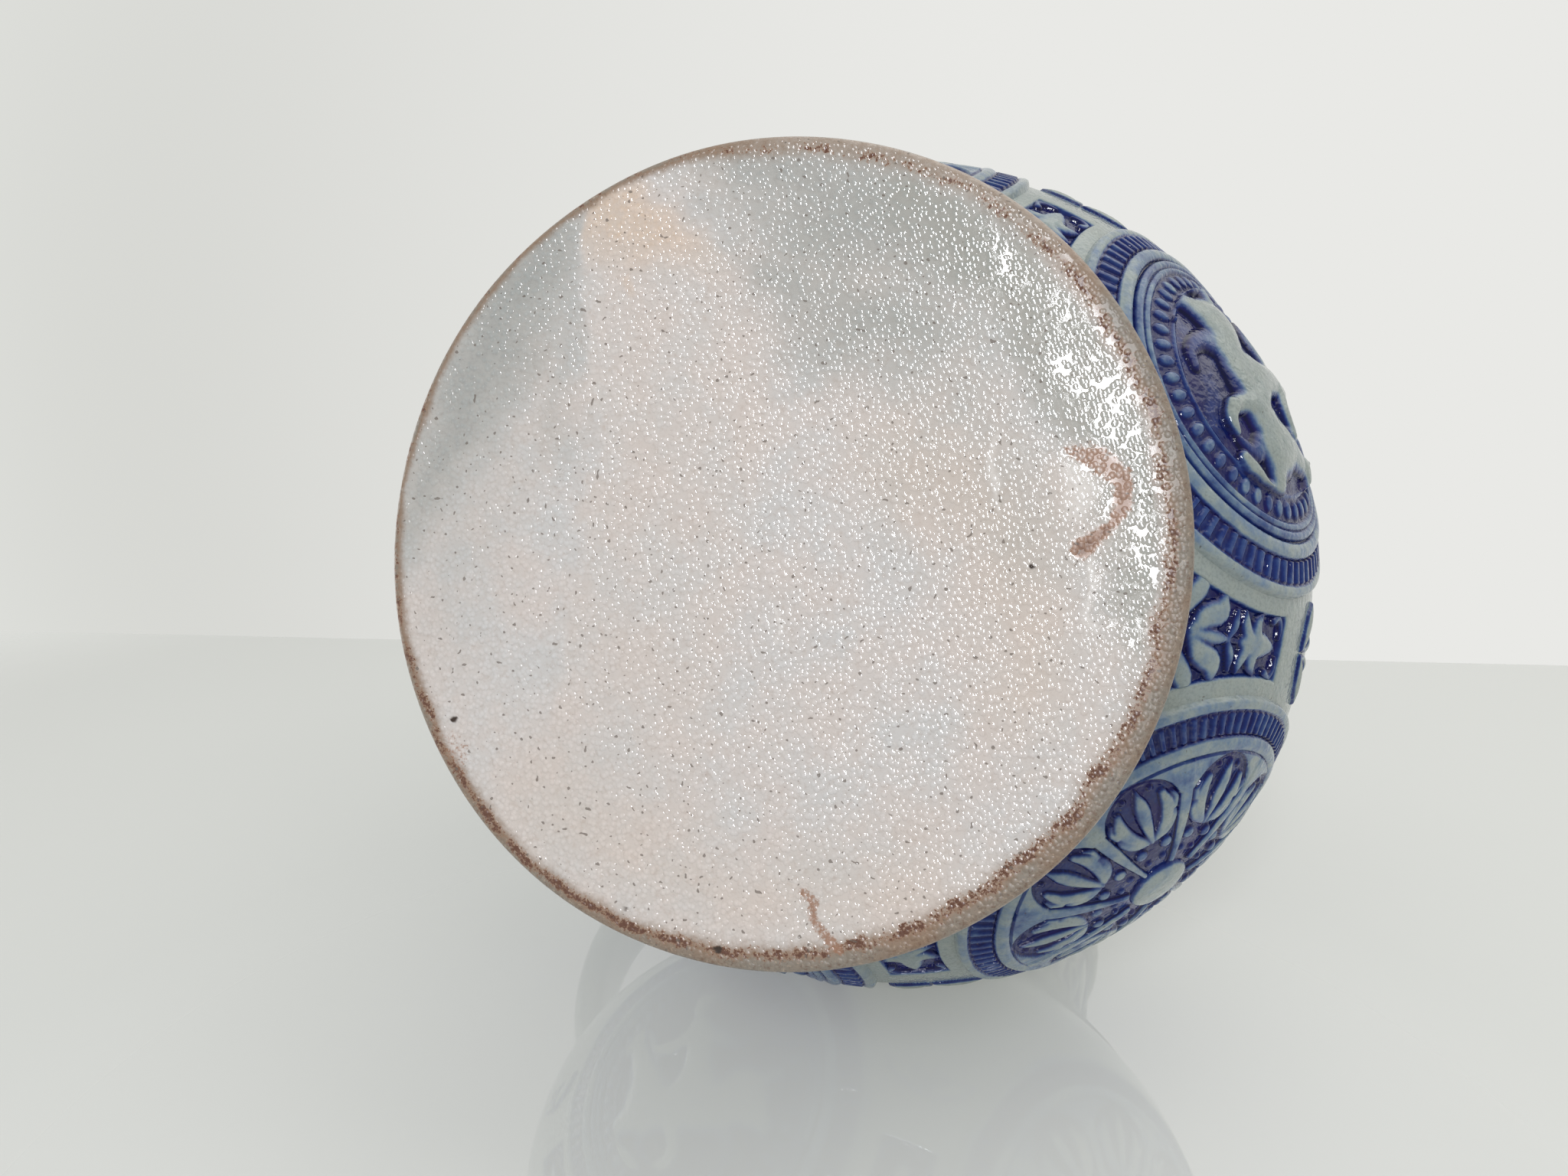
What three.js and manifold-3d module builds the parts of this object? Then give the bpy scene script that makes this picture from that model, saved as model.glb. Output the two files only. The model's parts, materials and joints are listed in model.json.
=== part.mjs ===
// A relief jug in salt-glazed stoneware: base, body, neck, pouring rim and handle, with the
// medallions, palmette panels and bands that are pressed in moulds and luted onto the clay.
// Millimetres. The origin is the centre of the underside, +Z runs up the jug's axis, +X points
// to the pouring lip, and the handle is on the -X side.
import * as THREE from "three";
import { mergeVertices } from "three/addons/utils/BufferGeometryUtils.js";
import Module from "manifold-3d";

// Base, body and neck, stacked from the bottom up
const baseRadius = 63;
const baseThickness = 6;
const standingEdge = 1.2; // rounding under the base
const upperEdge = 2; // rounding over the base
const footInset = 3; // how far the foot stands in from the base's edge
const footEdge = 2.6; // upright edge of the foot
const waistRadius = 47;
const waistCurve = 20; // concave curve from the foot round the waist
const bellyRadius = 90;
const lowerCurve = 60; // curve of the belly below its widest place
const upperCurve = 52; // curve of the belly above its widest place
const shoulderCurve = 12; // concave curve from the shoulder to the neck
const neckRadius = 51;
const neckRoot = 4.6; // upright part of the neck that belongs to the body
const neckLength = 52;
const rimLength = 36;
const wall = 5;
const gap = 0.3; // joint between two pieces of clay

// Rim and pouring lip
const rimBand = 9; // height of the thickened rim
const rimFlare = 2.5; // how far the rim stands out from the neck
const lipReach = 15; // how far the lip leans out past the rim
const lipSpread = 24; // half width of the lip, degrees
const lipDepth = 26; // height over which the lip leaves the neck
const lipLift = 0.12; // rise of the lip, as a share of its reach

// Handle
const handleBelowRim = 25; // from the rim down to its upper joint
const handleAboveBelly = 28; // from the belly's widest place up to its lower joint
const handleReach = 22; // how far its middle line passes outside the belly
const handleRise = 4; // how far it climbs above its upper joint
const handleStart = 6; // straight run out of each joint
const handleWidth = 27;
const handleWidthBelow = 19;
const handleThickness = 11;

// Rings and relief bands round the neck and shoulder
const ringHeight = 6;
const ringDepth = 3;
const ringInset = 2; // between a ring and the joint of the neck beside it
const friezeInset = 3; // between the frieze and a ring
const friezeDepth = 1.6;
const friezeLeaves = 20;
const bandHeight = 14; // shoulder band
const bandBelowNeck = 7; // from the neck's foot down to the shoulder band
const bandDepth = 1.4;

// Medallions and panels
const medallionDrop = 25.8; // from the belly's widest place down to their centres
const centreRadius = 30.7; // the sprig inside a frame
const innerMoulding = 2.8;
const reedWidth = 4.8; // the sunk reeded band of a frame
const outerMoulding = 2.2;
const frameDepth = 2;
const reedFloor = 0.9;
const centreGround = 1; // thickness of the sprig that carries a figure
const figureDepth = 2.4;
const bossRadius = 6;
const petals = 8;
const panelMargin = 3.5; // plain clay between a frame and a panel
const panelNarrow = 13.17; // a panel's width at the height of the medallions' centres
const panelDrop = 2.8; // from the medallions' centres down to the panels' upper edge
const panelFoot = 0.7; // the panels' lower edge over the start of the waist
const panelDepth = 1;
const palmetteDepth = 1.5;
const scrollRise = 9.2; // from the medallions' centres up to the scroll leaves
const scrollMargin = 1.65; // plain clay between a frame and the scroll leaves
const scrollTall = 9;

// Smoothness
const roundSteps = 48;
const medallionSteps = 32;
const limbSteps = 8;
const handleSteps = 22;
const handleSides = 12;
const outsideSteps = [4, 4, 7, 6, 3]; // foot, waist, lower belly, upper belly, shoulder
const insideSteps = [3, 2, 4, 4, 2];

const degrees = Math.PI / 180;
const wasm = await Module();
wasm.setup();

// The outline is four arcs, each tangent to the next: waist, lower and upper belly, shoulder.
const footRadius = baseRadius - footInset;
const footBottom = baseThickness + gap;
const waistCentre = waistRadius + waistCurve;
const lowerCentre = bellyRadius - lowerCurve;
const upperCentre = bellyRadius - upperCurve;
const shoulderCentre = neckRadius + shoulderCurve;
const footAngle = Math.acos((waistCentre - footRadius) / waistCurve);
const lowerAngle = Math.acos((waistCentre - lowerCentre) / (lowerCurve + waistCurve));
const upperAngle = Math.acos((shoulderCentre - upperCentre) / (upperCurve + shoulderCurve));
const waistHeight = footBottom + footEdge + waistCurve * Math.sin(footAngle);
const bellyHeight = waistHeight + (lowerCurve + waistCurve) * Math.sin(lowerAngle);
const shoulderHeight = bellyHeight + (upperCurve + shoulderCurve) * Math.sin(upperAngle);
const lowerSeam = bellyHeight - lowerCurve * Math.sin(lowerAngle);
const upperSeam = bellyHeight + upperCurve * Math.sin(upperAngle);
const bodyTop = shoulderHeight + neckRoot;
const neckTop = bodyTop + neckLength;
const jugHeight = neckTop + rimLength;

const medallionHeight = bellyHeight - medallionDrop;
const medallionRadius = skin(0, medallionHeight, 0).x;
const frameInner = centreRadius + gap;
const reedInner = frameInner + innerMoulding;
const reedOuter = reedInner + reedWidth;
const frameOuter = reedOuter + outerMoulding;
// A panel between each two frames sets the angle from one medallion to the next. The wider
// place that is left at the back is the handle's.
const besideFrame = 2 * Math.asin((frameOuter + panelMargin) / (2 * medallionRadius));
const medallionSpacing = 2 * besideFrame + panelNarrow / medallionRadius;

const clay = { color: 0xaab4b0, roughness: 0.35, metalness: 0 };
const cobalt = { color: 0x2b3358, roughness: 0.25, metalness: 0 };
const buff = { color: 0xb3a295, roughness: 0.4, metalness: 0 };

const jug = new THREE.Group();
jug.name = "jug";

function add(name, geometry, look) {
  geometry.computeVertexNormals();
  const mesh = new THREE.Mesh(geometry, new THREE.MeshStandardMaterial(look));
  mesh.name = name;
  jug.add(mesh);
  return mesh;
}

// Points of an arc in the half plane of the outline, x the radius and y the height.
function arc(x, y, radius, from, to, steps) {
  const points = [];
  for (let i = 0; i <= steps; i++) {
    const turn = from + ((to - from) * i) / steps;
    points.push(new THREE.Vector2(x + radius * Math.cos(turn), y + radius * Math.sin(turn)));
  }
  return points;
}

// The outline of the foot, the lower and the upper belly, moved out by an offset.
function outlines(offset, lowest, [footSteps, waistSteps, lowerSteps, upperSteps, shoulderSteps]) {
  const waistArc = (from, to, steps) =>
    arc(waistCentre, waistHeight, waistCurve - offset, Math.PI + from, Math.PI + to, steps);
  const shoulder = [Math.PI + upperAngle, Math.PI, shoulderSteps];
  return {
    foot: waistArc(lowest, 0, footSteps),
    lower: [
      ...waistArc(0, -lowerAngle, waistSteps),
      ...arc(lowerCentre, bellyHeight, lowerCurve + offset, -lowerAngle, 0, lowerSteps).slice(1),
    ],
    upper: [
      ...arc(upperCentre, bellyHeight, upperCurve + offset, 0, upperAngle, upperSteps),
      ...arc(shoulderCentre, shoulderHeight, shoulderCurve - offset, ...shoulder).slice(1),
    ],
  };
}

// Spins a closed outline round the axis.
function turned(outline) {
  const closed = [...outline, outline[0].clone()];
  return new THREE.LatheGeometry(closed, roundSteps).rotateX(Math.PI / 2);
}

// A point on the body's surface, moved out along the surface's normal.
function skin(azimuth, height, offset) {
  let tilt;
  let radius;
  if (height > upperSeam) {
    tilt = Math.asin(Math.min(1, (shoulderHeight - height) / shoulderCurve));
    radius = shoulderCentre - shoulderCurve * Math.cos(tilt);
  } else if (height > bellyHeight) {
    tilt = Math.asin((height - bellyHeight) / upperCurve);
    radius = upperCentre + upperCurve * Math.cos(tilt);
  } else if (height > lowerSeam) {
    tilt = Math.asin((height - bellyHeight) / lowerCurve);
    radius = lowerCentre + lowerCurve * Math.cos(tilt);
  } else {
    tilt = Math.asin((waistHeight - height) / waistCurve);
    radius = waistCentre - waistCurve * Math.cos(tilt);
  }
  const out = radius + offset * Math.cos(tilt);
  const up = height + offset * Math.sin(tilt);
  return new THREE.Vector3(out * Math.cos(azimuth), out * Math.sin(azimuth), up);
}

// A point of a medallion: its straight distance from the medallion's centre on the surface, the
// direction in which it lies, counter-clockwise from the right, and its height over the surface.
function onMedallion(azimuth, distance, turn, offset) {
  const centre = skin(azimuth, medallionHeight, 0);
  const out = skin(azimuth, medallionHeight, 1).sub(centre);
  const right = new THREE.Vector3(-Math.sin(azimuth), Math.cos(azimuth), 0);
  const up = new THREE.Vector3().crossVectors(out, right);
  const way = right.multiplyScalar(Math.cos(turn)).addScaledVector(up, Math.sin(turn));
  let shallow = 0;
  let steep = 75 * degrees;
  const point = new THREE.Vector3();
  for (let i = 0; i < 30; i++) {
    const dip = (shallow + steep) / 2;
    point.copy(centre).addScaledVector(way, distance * Math.cos(dip));
    point.addScaledVector(out, -distance * Math.sin(dip));
    const surface = skin(0, point.z, 0).x;
    if (Math.hypot(point.x, point.y) > surface) shallow = dip;
    else steep = dip;
  }
  return skin(Math.atan2(point.y, point.x), point.z, offset);
}

// A closed body between a lower and an upper grid of points. A wrapped grid closes round its
// columns, and a row that is one point closes the middle of a disc.
function slab(rows, columns, wrapped, pointAt) {
  const corners = [];
  const square = (a, b, c, d) => corners.push(a, b, c, a, c, d);
  const low = (i, j) => pointAt(i, j % (wrapped ? columns : columns + 1), 0);
  const high = (i, j) => pointAt(i, j % (wrapped ? columns : columns + 1), 1);
  for (let j = 0; j < columns; j++) {
    for (let i = 0; i < rows; i++) {
      square(high(i, j), high(i + 1, j), high(i + 1, j + 1), high(i, j + 1));
      square(low(i, j), low(i, j + 1), low(i + 1, j + 1), low(i + 1, j));
    }
    square(low(0, j), high(0, j), high(0, j + 1), low(0, j + 1));
    square(low(rows, j), low(rows, j + 1), high(rows, j + 1), high(rows, j));
  }
  for (let i = 0; i < rows && !wrapped; i++) {
    square(low(i, 0), low(i + 1, 0), high(i + 1, 0), high(i, 0));
    square(low(i, columns), high(i, columns), high(i + 1, columns), low(i + 1, columns));
  }
  return closed(corners);
}

// A tube through rings of points, joined end to end or closed by a fan at each end.
function tube(rings, endless) {
  const corners = [];
  const count = rings[0].length;
  const middle = (ring) =>
    ring.reduce((sum, p) => sum.add(p), new THREE.Vector3()).divideScalar(count);
  const last = rings.length - 1;
  for (let i = 0; i < (endless ? rings.length : last); i++) {
    const near = rings[i];
    const far = rings[(i + 1) % rings.length];
    for (let j = 0; j < count; j++) {
      const k = (j + 1) % count;
      corners.push(near[j], far[j], far[k], near[j], far[k], near[k]);
    }
  }
  for (let j = 0; j < count && !endless; j++) {
    const k = (j + 1) % count;
    corners.push(middle(rings[0]), rings[0][j], rings[0][k]);
    corners.push(middle(rings[last]), rings[last][k], rings[last][j]);
  }
  return closed(corners);
}

// Merges the corners of triangles into one closed surface, drops those without area and turns
// the faces outwards.
function closed(corners) {
  const merged = mergeVertices(new THREE.BufferGeometry().setFromPoints(corners), 1e-3);
  const index = merged.index.array;
  const at = (k) => new THREE.Vector3().fromBufferAttribute(merged.attributes.position, k);
  const kept = [];
  let volume = 0;
  for (let i = 0; i < index.length; i += 3) {
    const [a, b, c] = index.slice(i, i + 3);
    if (a === b || b === c || c === a) continue;
    kept.push([a, b, c]);
    volume += at(a).dot(at(b).cross(at(c)));
  }
  merged.setIndex(kept.flatMap(([a, b, c]) => (volume > 0 ? [a, b, c] : [a, c, b])));
  return merged;
}

function solidOf(geometry) {
  const bare = geometry.clone();
  bare.deleteAttribute("normal");
  bare.deleteAttribute("uv");
  const merged = mergeVertices(bare, 1e-3);
  const mesh = new wasm.Mesh({
    numProp: 3,
    vertProperties: merged.attributes.position.array,
    triVerts: new Uint32Array(merged.index.array),
  });
  return new wasm.Manifold(mesh);
}

function geometryOf(solid) {
  const mesh = solid.getMesh();
  const geometry = new THREE.BufferGeometry();
  geometry.setAttribute("position", new THREE.BufferAttribute(mesh.vertProperties, 3));
  geometry.setIndex([...mesh.triVerts]);
  return geometry;
}

function baseSlab() {
  const outline = [
    new THREE.Vector2(0, 0),
    ...arc(baseRadius - standingEdge, standingEdge, standingEdge, -90 * degrees, 0, 2),
    ...arc(baseRadius - upperEdge, baseThickness - upperEdge, upperEdge, 0, 90 * degrees, 3),
    new THREE.Vector2(0, baseThickness),
  ];
  return turned(outline);
}

// A turned wall between an outer and an inner outline. Its lower edge is lifted by the joint's
// gap where it stands on the section below.
function section(outer, inner, lift) {
  outer[0].y += lift;
  inner[0].y += lift;
  return turned([...outer, ...inner.reverse()]);
}

// The body is luted together from three sections: foot, lower belly and upper belly.
function bodySections() {
  const innerFootAngle = Math.asin((waistHeight - footBottom) / (waistCurve + wall));
  const outer = outlines(0, footAngle, outsideSteps);
  const inner = outlines(-wall, innerFootAngle, insideSteps);
  outer.foot.unshift(new THREE.Vector2(footRadius, footBottom));
  outer.upper.push(new THREE.Vector2(neckRadius, bodyTop));
  inner.upper.push(new THREE.Vector2(neckRadius - wall, bodyTop));
  return {
    foot: section(outer.foot, inner.foot, 0),
    belly_lower: section(outer.lower, inner.lower, gap),
    belly_upper: section(outer.upper, inner.upper, gap),
  };
}

function neckCollar() {
  const outline = [
    new THREE.Vector2(neckRadius, bodyTop + gap),
    new THREE.Vector2(neckRadius, neckTop),
    new THREE.Vector2(neckRadius - wall, neckTop),
    new THREE.Vector2(neckRadius - wall, bodyTop + gap),
  ];
  return turned(outline);
}

// A rounded moulding that lies round the neck.
function neckRing(bottom) {
  const inside = neckRadius + gap;
  const steps = 4;
  const outline = [new THREE.Vector2(inside, bottom)];
  for (let i = 0; i <= steps; i++) {
    const share = i / steps;
    const out = inside + ringDepth * (0.4 + 0.6 * Math.sin(share * Math.PI));
    outline.push(new THREE.Vector2(out, bottom + ringHeight * share));
  }
  outline.push(new THREE.Vector2(inside, bottom + ringHeight));
  return turned(outline);
}

// The upper neck: one section of rim carried round the axis, leaning out where the lip is.
function pouringRim() {
  const bottom = neckTop + gap;
  const bandStart = jugHeight - rimBand;
  const between = (bottom + bandStart) / 2;
  const crest = wall / 2;
  const rimRadius = neckRadius + rimFlare;
  const section = [
    [neckRadius, bottom],
    [neckRadius, between],
    [neckRadius, bandStart - rimFlare],
    [rimRadius, bandStart],
    [rimRadius, jugHeight - crest],
    [rimRadius - crest, jugHeight],
    [rimRadius - wall, jugHeight - crest],
    [neckRadius - wall, bandStart - crest],
    [neckRadius - wall, between],
    [neckRadius - wall, bottom],
  ];
  const rings = [];
  for (let i = 0; i < roundSteps; i++) {
    const azimuth = (i * 2 * Math.PI) / roundSteps;
    const aside = Math.atan2(Math.sin(azimuth), Math.cos(azimuth)) / (lipSpread * degrees);
    const pull = lipReach * Math.exp(-(aside ** 2));
    const ring = section.map(([radius, height]) => {
      const rise = THREE.MathUtils.smoothstep(height, jugHeight - lipDepth, jugHeight);
      const out = radius + pull * rise;
      const up = height + lipLift * pull * rise;
      return new THREE.Vector3(out * Math.cos(azimuth), out * Math.sin(azimuth), up);
    });
    rings.push(ring);
  }
  return tube(rings, true);
}

// The solid that the handle's ends are cut by: the jug's outside, a joint's gap larger.
function outsideOfJug() {
  const top = jugHeight - rimBand - rimFlare;
  const { lower, upper } = outlines(gap, footAngle, outsideSteps);
  const outline = [
    new THREE.Vector2(0, waistHeight),
    ...lower,
    ...upper,
    new THREE.Vector2(neckRadius + gap, top),
    new THREE.Vector2(0, top),
  ];
  return solidOf(turned(outline));
}

// The middle line of the handle, from inside the neck's wall to inside the belly's wall.
function handleLine() {
  const top = jugHeight - handleBelowRim;
  const bottom = bellyHeight + handleAboveBelly;
  const far = bellyRadius + handleReach;
  const belly = skin(0, bottom, 0).x;
  const at = (radius, height) => new THREE.Vector3(-radius, 0, height);
  const down = (share) => THREE.MathUtils.lerp(top, bottom, share);
  const points = [
    at(neckRadius - wall, top),
    at(neckRadius + handleStart, top),
    at((neckRadius + far) / 2, top + handleRise),
    at(far - 0.2 * handleReach, down(0.17)),
    at(far, down(0.42)),
    at(far - 0.4 * handleReach, down(0.76)),
    at(belly + handleStart, bottom + handleStart / 2),
    at(belly - wall, bottom - wall),
  ];
  return new THREE.CatmullRomCurve3(points, false, "centripetal");
}

// The pulled strap: a flattened oval that narrows downwards and swells at its two joints.
function handle() {
  const line = handleLine();
  const flattened = (value) => Math.sign(value) * Math.abs(value) ** 0.75;
  const rings = [];
  for (let i = 0; i <= handleSteps; i++) {
    const along = i / handleSteps;
    const middle = line.getPointAt(along);
    const way = line.getTangentAt(along);
    const out = new THREE.Vector3(way.z, 0, -way.x);
    const upperRoot = 0.35 * Math.exp(-((along / 0.09) ** 2));
    const lowerRoot = 0.5 * Math.exp(-(((1 - along) / 0.07) ** 2));
    const swell = 1 + upperRoot + lowerRoot;
    const halfWidth = (swell * THREE.MathUtils.lerp(handleWidth, handleWidthBelow, along)) / 2;
    const halfDeep = (swell * handleThickness) / 2;
    const ring = [];
    for (let j = 0; j < handleSides; j++) {
      const turn = ((j + 0.5) * 2 * Math.PI) / handleSides;
      const point = middle.clone().addScaledVector(out, halfDeep * flattened(Math.sin(turn)));
      point.y += halfWidth * flattened(Math.cos(turn));
      ring.push(point);
    }
    rings.push(ring);
  }
  return geometryOf(solidOf(tube(rings, false)).subtract(outsideOfJug()));
}

// A relief band round the neck: a thin strip whose face rises in a row of pointed leaves.
function neckFrieze() {
  const friezeBottom = bodyTop + ringInset + ringHeight + friezeInset;
  const friezeTop = neckTop - ringInset - ringHeight - friezeInset;
  const rows = 3;
  const columns = friezeLeaves * 2;
  return slab(rows, columns, true, (i, j, side) => {
    const azimuth = (j * 2 * Math.PI) / columns;
    const height = THREE.MathUtils.lerp(friezeBottom, friezeTop, i / rows);
    const leaf = j % 2 === 0 && i > 0 && i < rows ? 1 : 0.6;
    const radius = neckRadius + gap + side * friezeDepth * leaf;
    return new THREE.Vector3(radius * Math.cos(azimuth), radius * Math.sin(azimuth), height);
  });
}

// A relief band that follows the shoulder.
function shoulderBand() {
  const bandTop = shoulderHeight - bandBelowNeck;
  const rows = 3;
  return slab(rows, roundSteps, true, (i, j, side) => {
    const azimuth = (j * 2 * Math.PI) / roundSteps;
    const height = bandTop - bandHeight * (1 - i / rows);
    const edge = i > 0 && i < rows ? 0.6 : 1;
    return skin(azimuth, height, gap + side * bandDepth * edge);
  });
}

// The ring round a medallion: a raised moulding, the sunk reeded band and an outer moulding.
function medallionFrame(azimuth) {
  const profile = [
    [frameInner, 0.9],
    [reedInner, reedFloor / frameDepth],
    [reedOuter, reedFloor / frameDepth],
    [(reedOuter + frameOuter) / 2, 1],
    [frameOuter, 0.5],
  ];
  return slab(profile.length - 1, medallionSteps, true, (i, j, side) => {
    const turn = (j * 2 * Math.PI) / medallionSteps;
    const [distance, share] = profile[i];
    return onMedallion(azimuth, distance, turn, gap + side * frameDepth * share);
  });
}

// The disc inside a frame, with its face raised by a share of the figure's depth.
function medallionCentre(azimuth, stations, shareAt) {
  const ground = gap + centreGround;
  return slab(stations.length - 1, medallionSteps, true, (i, j, side) => {
    const turn = (j * 2 * Math.PI) / medallionSteps;
    const top = ground + (figureDepth - centreGround) * shareAt(i, j, turn);
    return onMedallion(azimuth, stations[i], turn, side ? top : gap);
  });
}

// Eight ribs from the middle boss, with a hollow between each two, and a ring outside them.
function rosetteCentre(azimuth) {
  const shares = [0.25, 0.5, 0.72, 0.9, 1];
  const stations = [0, bossRadius, ...shares.map((share) => share * centreRadius)];
  const ribEvery = medallionSteps / petals;
  return medallionCentre(azimuth, stations, (i, j) => {
    if (i <= 1) return 1;
    if (i >= stations.length - 2) return 0.7;
    return j % ribEvery === 0 ? 0.7 : 0;
  });
}

// An oval or a limb of the rider's relief, domed, in the medallion's own plane.
function limb(azimuth, [x0, y0], [x1, y1], startRadius, endRadius) {
  const lean = Math.atan2(y1 - y0, x1 - x0);
  return slab(2, limbSteps, true, (i, j, side) => {
    const turn = ((j + 0.5) * 2 * Math.PI) / limbSteps;
    const far = Math.cos(turn) > 0;
    const reach = (i / 2) * (far ? endRadius : startRadius);
    const start = i === 0 ? [(x0 + x1) / 2, (y0 + y1) / 2] : far ? [x1, y1] : [x0, y0];
    const x = (start[0] + reach * Math.cos(turn + lean)) * centreRadius;
    const y = (start[1] + reach * Math.sin(turn + lean)) * centreRadius;
    const top = gap + figureDepth - (i / 2) ** 2 * (figureDepth - centreGround) * 0.8;
    const offset = side ? top : gap + centreGround / 2;
    return onMedallion(azimuth, Math.hypot(x, y), Math.atan2(y, x), offset);
  });
}

// A galloping horse with its rider, on the disc that carries them. Each limb has its two ends
// and its radius at each end, as shares of the disc's radius.
function riderCentre(azimuth) {
  const stations = [0, 0.3, 0.6, 0.84, 0.92, 1].map((share) => share * centreRadius);
  const disc = medallionCentre(azimuth, stations, (i) => (i === 4 ? 0.6 : 0));
  const limbs = [
    [[-0.29, -0.1], [0.23, -0.03], 0.2, 0.18], // trunk
    [[0.23, 0.03], [0.39, 0.26], 0.15, 0.09], // neck
    [[0.39, 0.26], [0.55, 0.21], 0.08, 0.05], // head
    [[-0.39, -0.2], [-0.55, -0.39], 0.1, 0.05], // hind legs
    [[-0.26, -0.23], [-0.36, -0.49], 0.085, 0.045],
    [[0.26, -0.16], [0.49, -0.23], 0.07, 0.04], // forelegs
    [[0.16, -0.2], [0.36, -0.42], 0.07, 0.04],
    [[-0.46, -0.03], [-0.65, 0.03], 0.06, 0.04], // tail
    [[-0.03, 0.1], [0, 0.39], 0.12, 0.1], // rider's trunk
    [[0, 0.55], [0, 0.59], 0.085, 0.08], // rider's head
    [[0.03, 0.07], [0.1, -0.23], 0.07, 0.045], // rider's leg
    [[0.03, 0.36], [0.26, 0.26], 0.055, 0.04], // rider's arm
  ];
  let relief = solidOf(disc);
  for (const [from, to, startRadius, endRadius] of limbs) {
    relief = relief.add(solidOf(limb(azimuth, from, to, startRadius, endRadius)));
  }
  return geometryOf(relief);
}

// Half the angle between two frames at one height, with a margin of plain clay beside each.
// Below the frames the margin is shared with what stands under the next medallion.
function halfAngleBetween(height, margin) {
  const here = skin(0, height, 0).x;
  const rise = height - medallionHeight;
  const clear = frameOuter + margin;
  const squares = here ** 2 + medallionRadius ** 2 + rise ** 2 - clear ** 2;
  const cosine = squares / (2 * here * medallionRadius);
  const frameAngle = cosine < 1 ? Math.acos(cosine) : 0;
  return medallionSpacing / 2 - Math.max(frameAngle, margin / 2 / here);
}

// A palmette panel: a thin sprig that follows the frames' curves, raised in its middle.
function panel(azimuth) {
  const panelBottom = lowerSeam + panelFoot;
  const panelTop = medallionHeight - panelDrop;
  const rows = 6;
  const columns = 4;
  return slab(rows, columns, false, (i, j, side) => {
    const height = THREE.MathUtils.lerp(panelBottom, panelTop, i / rows);
    const across = (2 * j) / columns - 1;
    const leaf = Math.abs(across) < 0.7 && i > 0 && i < rows && i !== 4;
    const top = panelDepth + (leaf ? palmetteDepth - panelDepth : 0);
    const turn = azimuth + across * halfAngleBetween(height, panelMargin);
    return skin(turn, height, gap + side * top);
  });
}

// Two small leaves, tip to tip, above a panel.
function scrollLeaves(azimuth) {
  const scrollHeight = medallionHeight + scrollRise;
  const rows = 6;
  return slab(rows, 2, false, (i, j, side) => {
    const across = (2 * i) / rows - 1;
    const swell = 0.25 + 0.75 * Math.sin(Math.abs(across) * Math.PI) ** 2;
    const height = scrollHeight - (j - 1) * (scrollTall / 2) * swell;
    const turn = azimuth + across * halfAngleBetween(scrollHeight, scrollMargin);
    const top = j === 1 ? panelDepth : panelDepth * 0.6;
    return skin(turn, height, gap + side * top);
  });
}

add("base_slab", baseSlab(), buff);
for (const [name, shape] of Object.entries(bodySections())) add(name, shape, clay);
add("neck_collar", neckCollar(), clay);
add("pouring_rim", pouringRim(), clay);
add("handle", handle(), clay);
add("neck_ring_lower", neckRing(bodyTop + ringInset), clay);
add("neck_ring_upper", neckRing(neckTop - ringInset - ringHeight), clay);
add("neck_frieze", neckFrieze(), cobalt);
add("shoulder_band", shoulderBand(), cobalt);

// Four medallions stand evenly round the belly, and the handle has the wider place at the back.
const places = [
  ["back_right", -1.5, rosetteCentre],
  ["front_right", -0.5, riderCentre],
  ["front_left", 0.5, rosetteCentre],
  ["back_left", 1.5, riderCentre],
];
for (const [place, step, centre] of places) {
  const azimuth = step * medallionSpacing;
  const kind = centre === riderCentre ? "rider" : "rosette";
  add(`medallion_frame_${place}`, medallionFrame(azimuth), clay);
  add(`${kind}_medallion_${place}`, centre(azimuth), clay);
}

const panels = ["far_right", "right", "front", "left", "far_left"];
panels.forEach((place, i) => {
  const azimuth = (i - 2) * medallionSpacing;
  add(`palmette_panel_${place}`, panel(azimuth), cobalt);
  add(`scroll_leaves_${place}`, scrollLeaves(azimuth), clay);
});

export default jug;
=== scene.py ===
"""A relief jug in salt-glazed stoneware, lying on its belly with its underside to the camera.

Every size is in millimetres until a mesh is finished, and then becomes metres. The origin is the
centre of the underside, +Z runs up the jug's axis and +X points to the pouring lip.
"""

import math
from functools import partial

import bmesh
import bpy
import numpy as np
from mathutils import Matrix, Vector
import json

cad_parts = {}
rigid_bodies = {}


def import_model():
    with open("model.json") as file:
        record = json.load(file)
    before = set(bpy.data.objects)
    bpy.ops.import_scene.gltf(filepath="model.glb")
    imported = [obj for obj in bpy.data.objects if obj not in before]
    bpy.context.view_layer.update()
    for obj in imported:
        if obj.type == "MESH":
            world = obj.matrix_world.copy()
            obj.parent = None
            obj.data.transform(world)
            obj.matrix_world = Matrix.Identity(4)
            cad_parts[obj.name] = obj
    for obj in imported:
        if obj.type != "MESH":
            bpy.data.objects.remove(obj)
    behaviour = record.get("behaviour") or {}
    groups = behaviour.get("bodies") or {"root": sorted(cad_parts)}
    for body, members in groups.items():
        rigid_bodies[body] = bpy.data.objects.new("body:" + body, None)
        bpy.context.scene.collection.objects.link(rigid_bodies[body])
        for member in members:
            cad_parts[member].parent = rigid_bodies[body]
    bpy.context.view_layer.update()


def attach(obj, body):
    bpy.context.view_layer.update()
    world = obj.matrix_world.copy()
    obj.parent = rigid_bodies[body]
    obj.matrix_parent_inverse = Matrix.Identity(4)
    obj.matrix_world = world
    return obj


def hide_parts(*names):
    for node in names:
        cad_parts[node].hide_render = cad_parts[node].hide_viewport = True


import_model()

MM = 0.001
scene = bpy.context.scene
highest = np.maximum.reduce

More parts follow.
